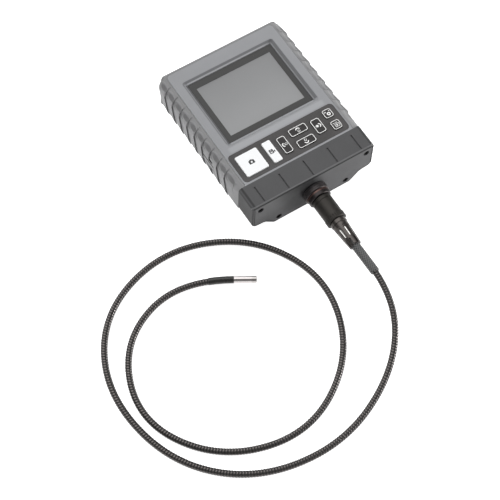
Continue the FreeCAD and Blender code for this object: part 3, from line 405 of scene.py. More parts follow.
@dataclass(frozen=True)
class Moulded(Finish):
    """Moulded plastic or rubber, with fine grain and faint changes of shade."""

    colour: Colour
    roughness: float = 0.55
    grain: Grain = Grain.SPARK
    uneven: float = 0.05
    specular: float = 0.4
    slow_mm: float = 24.0
    fine_mm: float = 0.7
    slow_share: float = 0.6
    gloss_mm: float = 11.0
    gloss_change: float = 0.16

    def shade(self, tree: ShaderTree, *marks: tuple[Value, float]) -> bpy.types.NodeSocket:
        """Gives the colour with its slow and fine changes, under marks.

        Args:
            tree: The material's nodes.
            *marks: Where each mark is, and the tone of the colour that it shows.

        Returns:
            The colour over the surface.
        """
        slow, fine = (tree.noise(size, detail=2.0) for size in (self.slow_mm, self.fine_mm))
        mask = slow * self.slow_share + fine * (1.0 - self.slow_share)
        darker, lighter = toned(self.colour, 1.0 - self.uneven * 2.0), toned(self.colour, 1.0 + self.uneven)
        return self.marked(tree, tree.blend(mask.fade(0.2, 0.8), darker, lighter), *marks)

    def marked(self, tree: ShaderTree, shade: Shade, *marks: tuple[Value, float]) -> bpy.types.NodeSocket:
        """Lays marks over a shade, in order.

        Args:
            tree: The material's nodes.
            shade: The shade under them.
            *marks: Where each mark is, and the tone of the colour that it shows.

        Returns:
            The colour over the surface.
        """
        for where, tone in marks:
            shade = tree.blend(where, shade, toned(self.colour, tone))
        return shade

    def grained(self, tree: ShaderTree, shade: Shade, shine: Value | float = 0.0) -> dict[str, object]:
        """Gives the shader's sockets.

        Args:
            tree: The material's nodes.
            shade: Its colour.
            shine: How much smoother it is than usual.

        Returns:
            What each socket holds, by name.
        """
        size, depth = self.grain.value
        return {
            "base_color": shade,
            "roughness": tree.noise(self.gloss_mm).spread(self.roughness, self.gloss_change) - shine,
            "specular_IOR_level": self.specular,
            "normal": tree.bumps(tree.noise(size, detail=4.0), depth),
        }

    def sockets(self, tree: ShaderTree) -> dict[str, object]:
        """Gives the sockets of the unmarked shade."""
        return self.grained(tree, self.shade(tree))


@dataclass(frozen=True)
class RecessedShell(Moulded):
    """The front shell's plastic: painted shade on the slope down to the screen, with a painted highlight on
    its lip, brightest at both ends.
    """

    below_face: Point = (39.45, 39.15)
    above_window: Point = (36.9, 37.1)
    slope_middle: Point = (0.0, 31.1)
    slope_half: Point = (43.5, 35.8)
    slope_edge: float = 0.3
    foot_middle: Point = (-0.4, 31.25)
    foot_half: Point = (40.65, 32.8)
    foot_fade: Point = (0.1, -0.1)
    lip_fade: Point = (1.2, 0.9)
    lip_sides: Point = (39.6, 39.0)
    rear: Point = (63.4, 63.9)
    right: Point = (39.9, 40.4)
    front: Point = (-1.3, -1.7)
    strip_front: Point = (-12.0, -10.0)
    strip_rear: Point = (-5.2, -6.7)
    strip_sides: Point = (46.0, 43.0)
    seam_level: Point = (39.4, 39.2)
    seam_sides: Point = (48.0, 48.5)

    def sockets(self, tree: ShaderTree) -> dict[str, object]:
        """Gives the sockets, with painted shade on the slope and its foot, painted highlights on its lip,
        the strip before the keys and painted light in the seam.

        Args:
            tree: The material's nodes.

        Returns:
            What each socket holds, by name.
        """
        x, y, z = tree.axes()
        slope = z.fade(*self.below_face) * z.fade(*self.above_window)
        for axis, middle, half in zip((x, y), self.slope_middle, self.slope_half):
            slope = slope * axis.within(middle, half, self.slope_edge)
        far_slope_shade = y.fade(*self.rear).larger(x.fade(*self.right)) * slope
        near_slope_shade = y.fade(*self.front) * slope
        strip = y.fade(*self.strip_front) * y.fade(*self.strip_rear) * abs(x).fade(*self.strip_sides)
        seam_light = z.fade(*self.seam_level) * abs(x).fade(*self.seam_sides)
        outside = beyond(x, y, self.foot_middle, self.foot_half)
        lip_highlight = outside.fade(*self.lip_fade) * slope
        end_lip_highlight = lip_highlight * abs(x).fade(*self.lip_sides)
        foot_shade = outside.fade(*self.foot_fade) * slope
        # Painted shade on the slope, deeper at the rear and right and lighter at the front; painted
        # highlights on its lip, brightest at the rear and front ends; painted shade at its foot; painted
        # light in the seam against its shade.
        marks = (
            (slope, 0.62), (far_slope_shade, 0.57), (near_slope_shade, 0.97), (strip, 1.2), (seam_light, 2.8),
            (lip_highlight, 0.8), (end_lip_highlight, 1.25), (foot_shade, 0.3),
        )
        return self.grained(tree, self.shade(tree, *marks))


@dataclass(frozen=True)
class CapPlastic(Moulded):
    """The end cap's plastic: a smoother painted highlight along its front top edge, painted shade at its
    sides and folds, and a painted shadow beside the socket.
    """

    corner: Point = (-63.3, 39.0)
    slant: Point = (0.72, 0.48)
    edge_depth: Point = (-60.0, -61.0)
    edge_height: Point = (35.5, 36.5)
    edge_highlight_place: float = 0.7
    edge_highlight_fade: Point = (0.6, 0.2)
    edge_highlight_shine: float = 0.1
    edge_shade_place: float = -0.65
    edge_shade_fade: Point = (0.75, 0.25)
    edge_shade_sides: Point = (56.8, 55.8)
    fold_shade_place: float = 54.9
    fold_shade_fade: Point = (1.3, 0.3)
    fold_shade_depth: Point = (-62.8, -61.3)
    fold_shade_height: Point = (37.5, 38.5)
    side_shade_fade: Point = (56.4, 57.2)
    socket_height: float = 19.2
    socket_slant: float = 0.35
    shadow_left: Point = (-37.0, -16.0)
    shadow_right: Point = (7.0, -3.0)
    face: Point = (-62.7, -63.2)

    def sockets(self, tree: ShaderTree) -> dict[str, object]:
        """Gives the sockets, with the painted highlight and painted shade line along the front edge,
        painted shade at the folds and sides, and a painted shadow on the face.

        Args:
            tree: The material's nodes.

        Returns:
            What each socket holds, by name.
        """
        x, y, z = tree.axes()
        outward = abs(x)
        along, up = self.slant
        around = (y - self.corner[0]) * along + (z - self.corner[1]) * up
        # Painted highlight along the rounded front top edge, with a painted shade line just below it on the
        # face.
        edge = z.fade(*self.edge_height) * y.fade(*self.edge_depth)
        edge_highlight = abs(around - self.edge_highlight_place).fade(*self.edge_highlight_fade) * edge
        edge_shade = abs(around - self.edge_shade_place).fade(*self.edge_shade_fade) * edge
        edge_shade = edge_shade * outward.fade(*self.edge_shade_sides)
        # Painted shade along the top side roundings and on the sides.
        fold = abs(outward - self.fold_shade_place).fade(*self.fold_shade_fade)
        fold = fold * z.fade(*self.fold_shade_height) * y.fade(*self.fold_shade_depth)
        sides = outward.fade(*self.side_shade_fade)
        # Painted shadow of the connector on the face, left of the socket, reaching further left towards the
        # top.
        beside = (x + (z - self.socket_height) * self.socket_slant).fade(*self.shadow_left)
        beside = beside * x.fade(*self.shadow_right) * y.fade(*self.face)
        marks = ((sides, 0.52), (fold, 0.5), (beside, 0.35), (edge_shade, 0.3), (edge_highlight, 1.6))
        return self.grained(tree, self.shade(tree, *marks), edge_highlight * self.edge_highlight_shine)


@dataclass(frozen=True)
class CoverRubber(Moulded):
    """The port cover's rubber: painted shade along a fold above its hinge and in a nail slot in its top
    edge.
    """

    fold_shade_height: float = 25.2
    fold_shade_fade: Point = (1.1, 0.9)
    slot_front: Point = (-5.4, -5.2)
    slot_rear: Point = (0.4, 0.2)
    slot_bottom: Point = (27.0, 27.2)

    def sockets(self, tree: ShaderTree) -> dict[str, object]:
        """Gives the sockets, with painted shade at the fold and the slot.

        Args:
            tree: The material's nodes.

        Returns:
            What each socket holds, by name.
        """
        _, y, z = tree.axes()
        fold = abs(z - self.fold_shade_height).fade(*self.fold_shade_fade)
        slot = y.fade(*self.slot_front) * y.fade(*self.slot_rear) * z.fade(*self.slot_bottom)
        # Painted shade along the fold and in the nail slot.
        return self.grained(tree, self.shade(tree, (fold.larger(slot), 0.06)))


@dataclass(frozen=True)
class GripRubber(Moulded):
    """The boot's soft rubber: painted shade at each rib's step and in the hooked scoop above it, with a
    painted highlight on the hook.
    """

    pitch: float = 11.3
    first: float = 75.4
    spare_ribs: int = 40
    level: float = 20.0
    lean: float = 0.23
    ribbed_rear: Point = (78.5, 76.0)
    ribbed_front: Point = (-37.0, -34.5)
    line_fade: Point = (0.54, 0.22)
    line_side: Point = (55.4, 56.2)
    line_top: Point = (33.6, 32.0)
    line_bottom: Point = (12.5, 14.0)
    line_depth: float = 0.8
    shoulder: Point = (30.5, 32.5)
    shoulder_slant: Point = (0.75, 0.66)
    scoop_ahead: float = 9.0
    scoop_place: Point = (56.7, 36.9)
    scoop_size: Point = (2.1, 7.4)
    scoop_rim: Point = (1.15, 0.7)
    scoop_rise: Point = (5.0, -3.0)
    scoop_least: float = 0.6
    scoop_depth: float = 0.85
    scoop_shine: float = 0.08
    hook_size: Point = (3.3, 6.0)
    hook_rim: Point = (0.13, 0.03)
    hook_ahead: Point = (-0.5, 2.0)
    hook_inner: Point = (-0.8, 1.2)
    hook_glint: float = 0.25
    # The colour of the painted shade in the scoops.
    scoop_shade: Colour = (0.2, 0.2, 0.2)

    def nearest(self, y: Value, start: float) -> Value:
        """Gives the distance along the boot from the nearest of the marks counted from start."""
        return (((y - start) / self.pitch + (self.spare_ribs + 0.5)).fraction() - 0.5) * self.pitch

    @staticmethod
    def reach(across: Value, along: Value, size: Point) -> Value:
        """Gives 0 in the middle of an oval of those half sizes and 1 on its rim."""
        wide, long = size
        return (across * across / (wide * wide) + along * along / (long * long)).power(0.5)

    def sockets(self, tree: ShaderTree) -> dict[str, object]:
        """Gives the sockets, with painted shade at the lines and scoops, and painted shade and a painted
        highlight on the hooks.

        Args:
            tree: The material's nodes.

        Returns:
            What each socket holds, by name.
        """
        x, y, z = tree.axes()
        outward = abs(x)
        ribbed = y.fade(*self.ribbed_rear) * y.fade(*self.ribbed_front)
        step = abs(self.nearest(y - (z - self.level) * self.lean, self.first))
        line = step.fade(*self.line_fade) * outward.fade(*self.line_side)
        line = line * z.fade(*self.line_top) * z.fade(*self.line_bottom)
        along = self.nearest(y, self.first + self.scoop_ahead)
        out, up = self.shoulder_slant
        over = (z - self.scoop_place[1]) * up - (outward - self.scoop_place[0]) * out
        shoulder = z.fade(*self.shoulder)
        scoop = self.reach(over, along, self.scoop_size).fade(*self.scoop_rim) * shoulder
        scoop = scoop * (along.fade(*self.scoop_rise) * (1.0 - self.scoop_least) + self.scoop_least)
        ring = abs(self.reach(over, along, self.hook_size) - 1.0).fade(*self.hook_rim)
        ring = ring * shoulder * along.fade(*self.hook_ahead)
        inner = over.fade(*self.hook_inner)
        # Painted shade: a dark line at each rib's step and on the outer side of each hook, with a painted
        # highlight on its inner side, and painted shade in each scoop.
        dark = line.larger(ring * (1 - inner)) * self.line_depth * ribbed
        glint = ring * inner * self.hook_glint * ribbed
        shade = tree.blend(scoop * self.scoop_depth * ribbed, self.shade(tree), self.scoop_shade)
        shade = self.marked(tree, shade, (glint, 1.5), (dark, 0.3))
        return self.grained(tree, shade, scoop * self.scoop_shine)


@dataclass(frozen=True)
class Metal(Finish):
    """Bare, plated or anodised metal, with tool marks, a mottled shine and rubbed spots."""

    colour: Colour
    roughness: float = 0.3
    metallic: float = 1.0
    marks_mm: float = 0.5
    stretch: Place = (1.0, 1.0, 1.0)
    depth_mm: float = 0.006
    rubbed: float = 0.12
    rubbed_tone: float = 1.5
    rubbed_lift: float = 0.01
    spots_mm: float = 4.0
    spots_fade: Point = (0.5, 0.75)
    spots_dull: float = 0.05
    marks_dull: float = 0.12
    patch_shine: float = 0.1

    def patch(self, tree: ShaderTree) -> tuple[Value, Shade] | None:
        """Gives where it shows another, smoother colour, and that colour, if it does."""
        return None

    def sockets(self, tree: ShaderTree) -> dict[str, object]:
        """Gives the sockets, with the tool marks, spots and patch.

        Args:
            tree: The material's nodes.

        Returns:
            What each socket holds, by name.
        """
        marks = tree.noise(self.marks_mm, stretch=self.stretch)
        spots = tree.noise(self.spots_mm).fade(*self.spots_fade)
        brighter = tuple(min(1.0, part + self.rubbed_lift) for part in toned(self.colour, self.rubbed_tone))
        shade = tree.blend(spots * self.rubbed, self.colour, brighter)
        roughness = marks.spread(self.roughness, self.marks_dull) + spots * self.spots_dull
        patch = self.patch(tree)
        if patch is not None:
            where, bare = patch
            shade = tree.blend(where, shade, bare)
            roughness = roughness - where * self.patch_shine
        normal = tree.bumps(marks, self.depth_mm)
        return {"base_color": shade, "metallic": self.metallic, "roughness": roughness, "normal": normal}


@dataclass(frozen=True)
class BandedMetal(Metal):
    """Metal that is darker in front of a step and has one narrow tinted band round it there."""

    step: Point = (-68.6, -68.9)
    deep: Colour = (0.034, 0.029, 0.029)
    band: float = -70.3
    band_fade: Point = (0.9, 0.5)
    tint: Colour = (0.11, 0.066, 0.058)

    def patch(self, tree: ShaderTree) -> tuple[Value, Shade]:
        """Finds the part in front of the step.

        Args:
            tree: The material's nodes.

        Returns:
            Where it is, and its colour with the band.
        """
        _, y, _ = tree.axes()
        band = abs(y - self.band).fade(*self.band_fade)
        return y.fade(*self.step), tree.blend(band, self.deep, self.tint)


@dataclass(frozen=True)
class FlutedMetal(Metal):
    """Dark metal whose milled flutes are bare and bright along their floors."""

    axis_height: float = 19.2
    start: float = -101.0
    radius: float = 6.6
    slope: float = 0.067
    depth: Point = (0.2, 0.4)
    flute_front: Point = (-115.0, -114.5)
    flute_rear: Point = (-106.6, -107.1)
    bare: Colour = (0.74, 0.73, 0.71)

    def patch(self, tree: ShaderTree) -> tuple[Value, Shade]:
        """Finds the floors of the flutes.

        Args:
            tree: The material's nodes.

        Returns:
            Where they are, and their colour.
        """
        x, y, z = tree.axes()
        height = z - self.axis_height
        out = (x * x + height * height).power(0.5)
        skin = (y - self.start) * self.slope + self.radius
        floors = (skin - out).fade(*self.depth) * y.fade(*self.flute_front) * y.fade(*self.flute_rear)
        return floors, self.bare


@dataclass(frozen=True)
class PrintedWindow(Finish):
    """The clear window: a dark printed border round the part that shows the display."""

    centre: Point
    size: Point
    border: Colour
    clear: Colour
    border_fade: Point = (-0.2, 0.15)
    toward_keys_fade: Point = (-38.0, 28.0)
    toward_keys_share: float = 0.8
    toward_keys_tone: float = 1.36
    dust_fade: Point = (0.66, 0.8)
    dust_dull: float = 0.12
    sheen_dull: float = 0.08
    roughness: float = 0.2
    cover: float = 0.65

    def sockets(self, tree: ShaderTree) -> dict[str, object]:
        """Gives the sockets, with the border, a paler tone towards the keys, dust and a faint sheen.

        Args:
            tree: The material's nodes.

        Returns:
            What each socket holds, by name.
        """
        x, y, _ = tree.axes()
        half = (self.size[0] / 2, self.size[1] / 2)
        border = beyond(x, y, self.centre, half).fade(*self.border_fade)
        dust = tree.noise(1.4, detail=5.0).fade(*self.dust_fade)
        sheen = tree.noise(40.0, detail=1.0)
        toward_keys = (self.centre[1] - y).fade(*self.toward_keys_fade)
        paler = toward_keys * self.toward_keys_share + sheen * (1.0 - self.toward_keys_share)
        tone = tree.blend(paler, self.clear, toned(self.clear, self.toward_keys_tone))
        return {
            "base_color": tree.blend(border, tone, self.border),
            "alpha": border * (1.0 - self.cover) + self.cover,
            "roughness": sheen * self.sheen_dull + dust * self.dust_dull + self.roughness,
            "specular_IOR_level": 0.3,
        }


@dataclass(frozen=True)
class DisplayGlass(Finish):
    """The display, switched off: a fine grid of rows and columns under matt film."""

    colour: Colour
    grid_mm: float = 0.22
    gap: Point = (0.5, 0.36)
    gap_tone: float = 0.85
    roughness: float = 0.35

    def sockets(self, tree: ShaderTree) -> dict[str, object]:
        """Gives the sockets, with the grid.

        Args:
            tree: The material's nodes.

        Returns:
            What each socket holds, by name.
        """
        x, y, _ = tree.axes()
        columns, rows = (axis.off_centre(self.grid_mm).fade(*self.gap) for axis in (x, y))
        return {
            "base_color": tree.blend(columns * rows, toned(self.colour, self.gap_tone), self.colour),
            "roughness": tree.noise(15.0, detail=2.0).spread(self.roughness, 0.1),
        }


@dataclass(frozen=True)
class CircuitBoard(Finish):
    """A circuit board: solder mask over tracks, with plated holes and pads."""

    mask: Colour
    track: Colour
    pad: Colour
    pitch_mm: float = 1.27
    track_fade: Point = (0.3, 0.2)
    track_depth_mm: float = 0.03
    block_fade: Point = (0.48, 0.52)
    hole_spacing_mm: float = 3.4
    hole_fade: Point = (0.2, 0.16)
    hole_metallic: float = 0.9
    hole_shine: float = 0.12
    roughness: float = 0.42

    def sockets(self, tree: ShaderTree) -> dict[str, object]:
        """Gives the sockets, with tracks along one axis in some blocks and the other in the rest.

        Args:
            tree: The material's nodes.

        Returns:
            What each socket holds, by name.
        """
        x, y, _ = tree.axes()
        block = tree.noise(9.0, detail=0.0).fade(*self.block_fade)
        along, across = (axis.off_centre(self.pitch_mm).fade(*self.track_fade) for axis in (x, y))
        lines = (along * block).larger(across * (1 - block))
        holes = tree.cells(self.hole_spacing_mm).fade(*self.hole_fade)
        shade = tree.blend(lines, self.mask, self.track)
        return {
            "base_color": tree.blend(holes, shade, self.pad),
            "metallic": holes * self.hole_metallic,
            "roughness": self.roughness - holes * self.hole_shine,
            "normal": tree.bumps(lines, self.track_depth_mm),
        }


@dataclass(frozen=True)
class Striped(Finish):
    """Parallel stripes along one axis, as on a flat cable or a wrapped cell."""

    ground: Colour
    stripe: Colour
    pitch_mm: float
    axis: int = 0
    share: float = 0.5
    blur: float = 0.03
    depth_mm: float = 0.02
    roughness: float = 0.35

    def sockets(self, tree: ShaderTree) -> dict[str, object]:
        """Gives the sockets, with the stripes.

        Args:
            tree: The material's nodes.

        Returns:
            What each socket holds, by name.
        """
        along = tree.axes()[self.axis]
        edge = self.share / 2
        lines = along.off_centre(self.pitch_mm).fade(edge + self.blur, edge - self.blur)
        return {
            "base_color": tree.blend(lines, self.ground, self.stripe),
            "roughness": tree.noise(3.0, detail=4.0).spread(self.roughness, 0.14),
            "normal": tree.bumps(lines, self.depth_mm),
        }


@dataclass(frozen=True)
class Woven(Finish):
    """A flexible sleeve with fine crossed ribs that break up its shine."""

    colour: Colour
    pitch_mm: float
    rib_fade: Point = (0.5, 0.95)
    rib_depth_mm: float = 0.12
    rib_shine: float = 0.15
    groove_tone: float = 0.15
    roughness: float = 0.6

    def sockets(self, tree: ShaderTree) -> dict[str, object]:
        """Gives the sockets, with the ribs both ways.

        Args:
            tree: The material's nodes.

        Returns:
            What each socket holds, by name.
        """
        x, y, _ = tree.axes()
        first, second = (way.off_centre(self.pitch_mm) * 2 for way in (y + x, y - x))
        height = first.larger(second)
        dark = toned(self.colour, self.groove_tone)
        return {
            "base_color": tree.blend(height.fade(*self.rib_fade), dark, self.colour),
            "roughness": self.roughness - height * self.rib_shine,
            "normal": tree.bumps(height, self.rib_depth_mm),
        }


@dataclass(frozen=True)
class Ink(Finish):
    """Screen-printed ink, a little uneven in cover."""

    colour: Colour
    thin_tone: float = 0.88
    roughness: float = 0.5

    def sockets(self, tree: ShaderTree) -> dict[str, object]:
        """Gives the sockets, thinner here and there.

        Args:
            tree: The material's nodes.

        Returns:
            What each socket holds, by name.
        """
        cover = tree.noise(0.25)
        shade = tree.blend(cover, toned(self.colour, self.thin_tone), self.colour)
        return {"base_color": shade, "roughness": cover.spread(self.roughness, 0.1)}


@dataclass(frozen=True)
class Lens(Finish):
    """Coated glass over a dark barrel."""

    colour: Colour
    tint: Colour
    roughness: float = 0.04
    coat_roughness: float = 0.02
    specular: float = 0.7

    def sockets(self, tree: ShaderTree) -> dict[str, object]:
        """Gives the sockets, with the coating's bloom.

        Args:
            tree: The material's nodes.

        Returns:
            What each socket holds, by name.
        """
        bloom = tree.noise(1.1, detail=1.0)
        return {
            "base_color": tree.blend(bloom, self.colour, self.tint),
            "roughness": bloom.spread(self.roughness, 0.04),
            "specular_IOR_level": self.specular,
            "coat_weight": 1.0,
            "coat_roughness": self.coat_roughness,
        }


# ---------------------------------------------------------------- pieces of mesh
def turns(count: int) -> list[float]:
    """Gives the angles of that many equal steps round a full turn, in radians."""
    return [2 * math.pi * step / count for step in range(count)]


def on_circle(middle: Point, radius: float, turn: float) -> Point:
    """Gives the point of a circle at an angle in radians."""
    return middle[0] + radius * math.cos(turn), middle[1] + radius * math.sin(turn)


def spoke(across: Vector, upward: Vector, turn: float) -> Vector:
    """Gives the direction at an angle in radians from across towards upward."""
    return across * math.cos(turn) + upward * math.sin(turn)


def join_rings(
    shape: bmesh.types.BMesh,
    first: Sequence[bmesh.types.BMVert],
    second: Sequence[bmesh.types.BMVert],
    smooth: bool = False,
) -> None:
    """Closes the band between two rings of corners.

    Args:
        shape: The mesh that holds them.
        first: One ring.
        second: The other ring, of as many corners.
        smooth: Whether its faces are shaded smooth.
    """
    for index, corner in enumerate(first):
        after = (index + 1) % len(first)
        face = shape.faces.new((corner, first[after], second[after], second[index]))
        face.smooth = smooth


def add_object(name: str, data: bpy.types.ID) -> bpy.types.Object:
    """Adds an object to the scene.

    Args:
        name: Its name.
        data: Its mesh, curve, light or camera.

    Returns:
        The new object.
    """
    made = bpy.data.objects.new(name, data)
    bpy.context.scene.collection.objects.link(made)
    return made


class Model:
    """The loaded frame, and the ways a piece is added to it or dressed."""

    def __init__(self, frame: Mapping[str, object]) -> None:
        """Keeps the nodes of the frame."""
        self.nodes = frame["nodes"]
        self.materials: dict[str, bpy.types.Material] = {}

    def finish(self, finish: Finish) -> bpy.types.Material:
        """Gives the material of a finish, made once.

        Args:
            finish: The finish.

        Returns:
            Its material.
        """
        if finish.name not in self.materials:
            self.materials[finish.name] = finish.build()
        return self.materials[finish.name]

    def dress(self, finish: Finish, *names: str) -> None:
        """Puts a finish on nodes of the frame.

        Args:
            finish: The finish.
            *names: The nodes.
        """
        material = self.finish(finish)
        for name in names:
            node = self.nodes[name]
            if not node.material_slots:
                node.data.materials.append(material)
            for slot in node.material_slots:
                slot.material = material
            LOG.info("%s dressed in %s", name, finish.name)

    def add(
        self, name: str, shape: bmesh.types.BMesh, finish: Finish, body: str, slot: str
    ) -> bpy.types.Object:
        """Adds a piece.

        Args:
            name: The piece's name.
            shape: Its mesh, in metres in the shared frame.
            finish: Its finish.
            body: The body that it rides on.
            slot: The record's material slot; not used.

        Returns:
            The new piece.
        """
        mesh = bpy.data.meshes.new(name)
        bmesh.ops.recalc_face_normals(shape, faces=shape.faces)
        shape.to_mesh(mesh)
        shape.free()
        mesh.materials.append(self.finish(finish))
        piece = add_object(name, mesh)
        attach(piece, body)
        LOG.info("%s added with %d faces", name, len(mesh.polygons))
        return piece


@dataclass
class Stencil:
    """Flat printed marks, drawn in millimetres round a centre and stood on a level."""

    centre: Point
    level: float
    thick: float = 0.04
    corner_steps: int = 4
    sharpest: float = 0.5

    def __post_init__(self) -> None:
        """Starts with no marks."""
        self.shape = bmesh.new()

    def _corner(self, point: Point, rise: float) -> bmesh.types.BMVert:
        """Adds a corner above the level."""
        x, y = self.centre
        return self.shape.verts.new(Vector((x + point[0], y + point[1], self.level + rise)) * MM)

    def patch(self, outline: Sequence[Point]) -> None:
        """Prints a filled shape.

        Args:
            outline: The points round it.
        """
        lower = [self._corner(point, 0.0) for point in outline]
        upper = [self._corner(point, self.thick) for point in outline]
        self.shape.faces.new(upper)
        self.shape.faces.new(lower[::-1])
        join_rings(self.shape, lower, upper)

    def stroke(self, line: Sequence[Point], width: float, closed: bool = False) -> None:
        """Prints a line of even width.

        Args:
            line: The points along its middle.
            width: Its width.
            closed: Whether it joins up.
        """
        count = len(line)
        sides = []
        for index, point in enumerate(line):
            here = Vector(point)
            coming = here - Vector(line[index - 1]) if closed or index else None
            going = Vector(line[(index + 1) % count]) - here if closed or index < count - 1 else None
            coming = (coming or going).normalized()
            going = (going or coming).normalized()
            way = (coming + going).normalized()
            full = width / 2 / max(way.dot(coming), self.sharpest)
            side = Vector((-way.y, way.x)) * full
            sides.append((tuple(here + side), tuple(here - side)))
        rings = []
        for pair in sides:
            corners = [self._corner(spot, rise) for spot in pair for rise in (0.0, self.thick)]
            rings.append((corners[0], corners[1], corners[3], corners[2]))
        for index in range(count if closed else count - 1):
            join_rings(self.shape, rings[index], rings[(index + 1) % count])
        if not closed:
            self.shape.faces.new(rings[0])
            self.shape.faces.new(rings[-1])

    def arc(self, middle: Point, radius: float, span: Point, width: float, steps: int = 14) -> None:
        """Prints part of a circle.

        Args:
            middle: Its middle.
            radius: Its radius.
            span: Its first and last angles, in degrees.
            width: The width of its line.
            steps: How many straight pieces it has.
        """
        start, end = span
        closed = abs(end - start) >= 360.0
        count = steps if closed else steps + 1
        angles = [math.radians(start + (end - start) * step / steps) for step in range(count)]
        self.stroke([on_circle(middle, radius, angle) for angle in angles], width, closed)

    def dot(self, middle: Point, radius: float, sides: int = 16) -> None:
        """Prints a filled disc."""
        self.patch([on_circle(middle, radius, turn) for turn in turns(sides)])

    def pierced(self, size: Point, hole: float, sides: int = 32) -> None:
        """Prints a filled rectangle with a round hole in its middle.

        Args:
            size: Its width and height.
            hole: The radius of the hole.
            sides: How many sides the hole has.
        """
        width, height = size
        outer = []
        for turn in turns(sides):
            across, along = (max(abs(part), 1e-6) for part in on_circle((0.0, 0.0), 1.0, turn))
            outer.append(on_circle((0.0, 0.0), min(width / 2 / across, height / 2 / along), turn))
        inner = [on_circle((0.0, 0.0), hole, turn) for turn in turns(sides)]
        low_out, high_out, low_in, high_in = (
            [self._corner(point, rise) for point in line]
            for line in (outer, inner)
            for rise in (0.0, self.thick)
        )
        for one, two in ((low_out, high_out), (high_out, high_in), (high_in, low_in), (low_in, low_out)):
            join_rings(self.shape, one, two)

    def bar(self, x0: float, x1: float, y0: float, y1: float) -> None:
        """Prints a filled rectangle."""
        self.patch([(x0, y0), (x1, y0), (x1, y1), (x0, y1)])

    def frame(self, size: Point, radius: float, width: float) -> None:
        """Prints the outline of a rectangle with round corners.

        Args:
            size: Its width and height, to the middle of the line.
            radius: The radius of its corners.
            width: The width of its line.
        """
        line = []
        for right, up, first in ((1, 1, 0), (-1, 1, 90), (-1, -1, 180), (1, -1, 270)):
            middle = (right * (size[0] / 2 - radius), up * (size[1] / 2 - radius))
            for step in range(self.corner_steps + 1):
                turn = math.radians(first + 90.0 * step / self.corner_steps)
                line.append(on_circle(middle, radius, turn))
        self.stroke(line, width, closed=True)


# ---------------------------------------------------------------- studio
@dataclass(frozen=True)
class Lamp:
    """A soft square light, with its places and size in metres and its power in watts."""

    name: str
    place: Place
    aim: Place
    size: float
    power: float

    def hang(self) -> None:
        """Adds the light to the scene, facing its aim."""
        light = bpy.data.lights.new(self.name, "AREA")
        light.shape = "SQUARE"
        light.size = self.size
        light.energy = self.power
        lamp = add_object(self.name, light)
        lamp.location = self.place
        lamp.rotation_euler = (Vector(self.place) - Vector(self.aim)).to_track_quat("Z", "Y").to_euler()


@dataclass(frozen=True)
class FloorPaper(Finish):
    """The floor's pale, glowing paper."""

    colour: Colour
    glow: float

    def sockets(self, tree: ShaderTree) -> dict[str, object]:
        """Gives the sockets, with a very slow change of tone.

        Args:
            tree: The material's nodes.

        Returns:
            What each socket holds, by name.
        """
        tone = tree.blend(tree.noise(300.0, detail=1.0), self.colour, toned(self.colour, 0.99))
        return {
            "base_color": tone,
            "roughness": 0.9,
            "specular_IOR_level": 0.1,
            "emission_color": WHITE,
            "emission_strength": self.glow,
        }


@dataclass
class Studio:
    """The camera, the pale floor and the soft lights."""

    target: Place = (-78.47, -92.0, 39.5)
    distance: float = 1208.21
    azimuth: float = -34.44
    elevation: float = 61.44
    roll: float = 2.28
    lens: float = 113.8
    sensor: float = 36.0
    clip: Point = (0.05, 50.0)
    floor_half: float = 4.0
    floor_gap: float = 0.0002
    floor_colour: Colour = (0.85, 0.85, 0.85)
    floor_glow: float = 0.85
    overhead: Place = (-0.08, 0.55, 0.8)
    patch_fade: Point = (0.72, 0.9)
    patch_level: float = 2.15
    horizon_fade: Point = (0.42, 0.02)
    horizon_level: float = 0.1
    sky_level: float = 0.3
    lamps: tuple[Lamp, ...] = (
        Lamp("front_light", place=(1.5, -0.95, 0.4), aim=(0.0, -0.06, 0.02), size=0.35, power=23.0),
    )

    def camera(self) -> None:
        """Makes the camera and hands it to the scene."""
        turn, tilt, roll = (math.radians(angle) for angle in (self.azimuth, self.elevation, self.roll))
        back = Vector((math.sin(turn) * math.cos(tilt), -math.cos(turn) * math.cos(tilt), math.sin(tilt)))
        level = Vector((math.cos(turn), math.sin(turn), 0.0))
        upright = back.cross(level)
        right = level * math.cos(roll) + upright * math.sin(roll)
        upward = upright * math.cos(roll) - level * math.sin(roll)
        lens = bpy.data.cameras.new("studio_camera")
        lens.lens = self.lens
        lens.sensor_width = self.sensor
        lens.clip_start, lens.clip_end = self.clip
        facing = Matrix((right, upward, back)).transposed().to_4x4()
        facing.translation = (Vector(self.target) + back * self.distance) * MM
        camera = add_object("studio_camera", lens)
        camera.matrix_world = facing
        bpy.context.scene.camera = camera

    def floor(self) -> None:
        """Makes the floor just below the height that the object stands on."""
        shape = bmesh.new()
        bmesh.ops.create_grid(shape, x_segments=1, y_segments=1, size=self.floor_half)
        mesh = bpy.data.meshes.new("studio_floor")
        shape.to_mesh(mesh)
        shape.free()
        mesh.materials.append(FloorPaper("studio_floor", self.floor_colour, self.floor_glow).build())
        floor = add_object("studio_floor", mesh)
        floor.location = (0.0, 0.0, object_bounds()[0][2] - self.floor_gap)
        floor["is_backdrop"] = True

    def sky(self) -> None:
        """Lights the room: a broad bright patch overhead, tipped to the rear, and a paler horizon."""
        tree = ShaderTree.of_room("studio_room")
        raised = tree.aimed(self.overhead)
        patch = raised.fade(*self.patch_fade) * self.patch_level
        horizon = raised.fade(*self.horizon_fade) * self.horizon_level
        tree.surface(color=WHITE, strength=patch + horizon + self.sky_level)
        bpy.context.scene.world = tree.owner

    def build(self) -> None:
        """Makes the whole studio."""
        self.camera()
        self.floor()
        self.sky()
        for lamp in self.lamps:
            lamp.hang()
        bpy.context.scene.view_settings.view_transform = "Standard"
        LOG.info("studio ready")


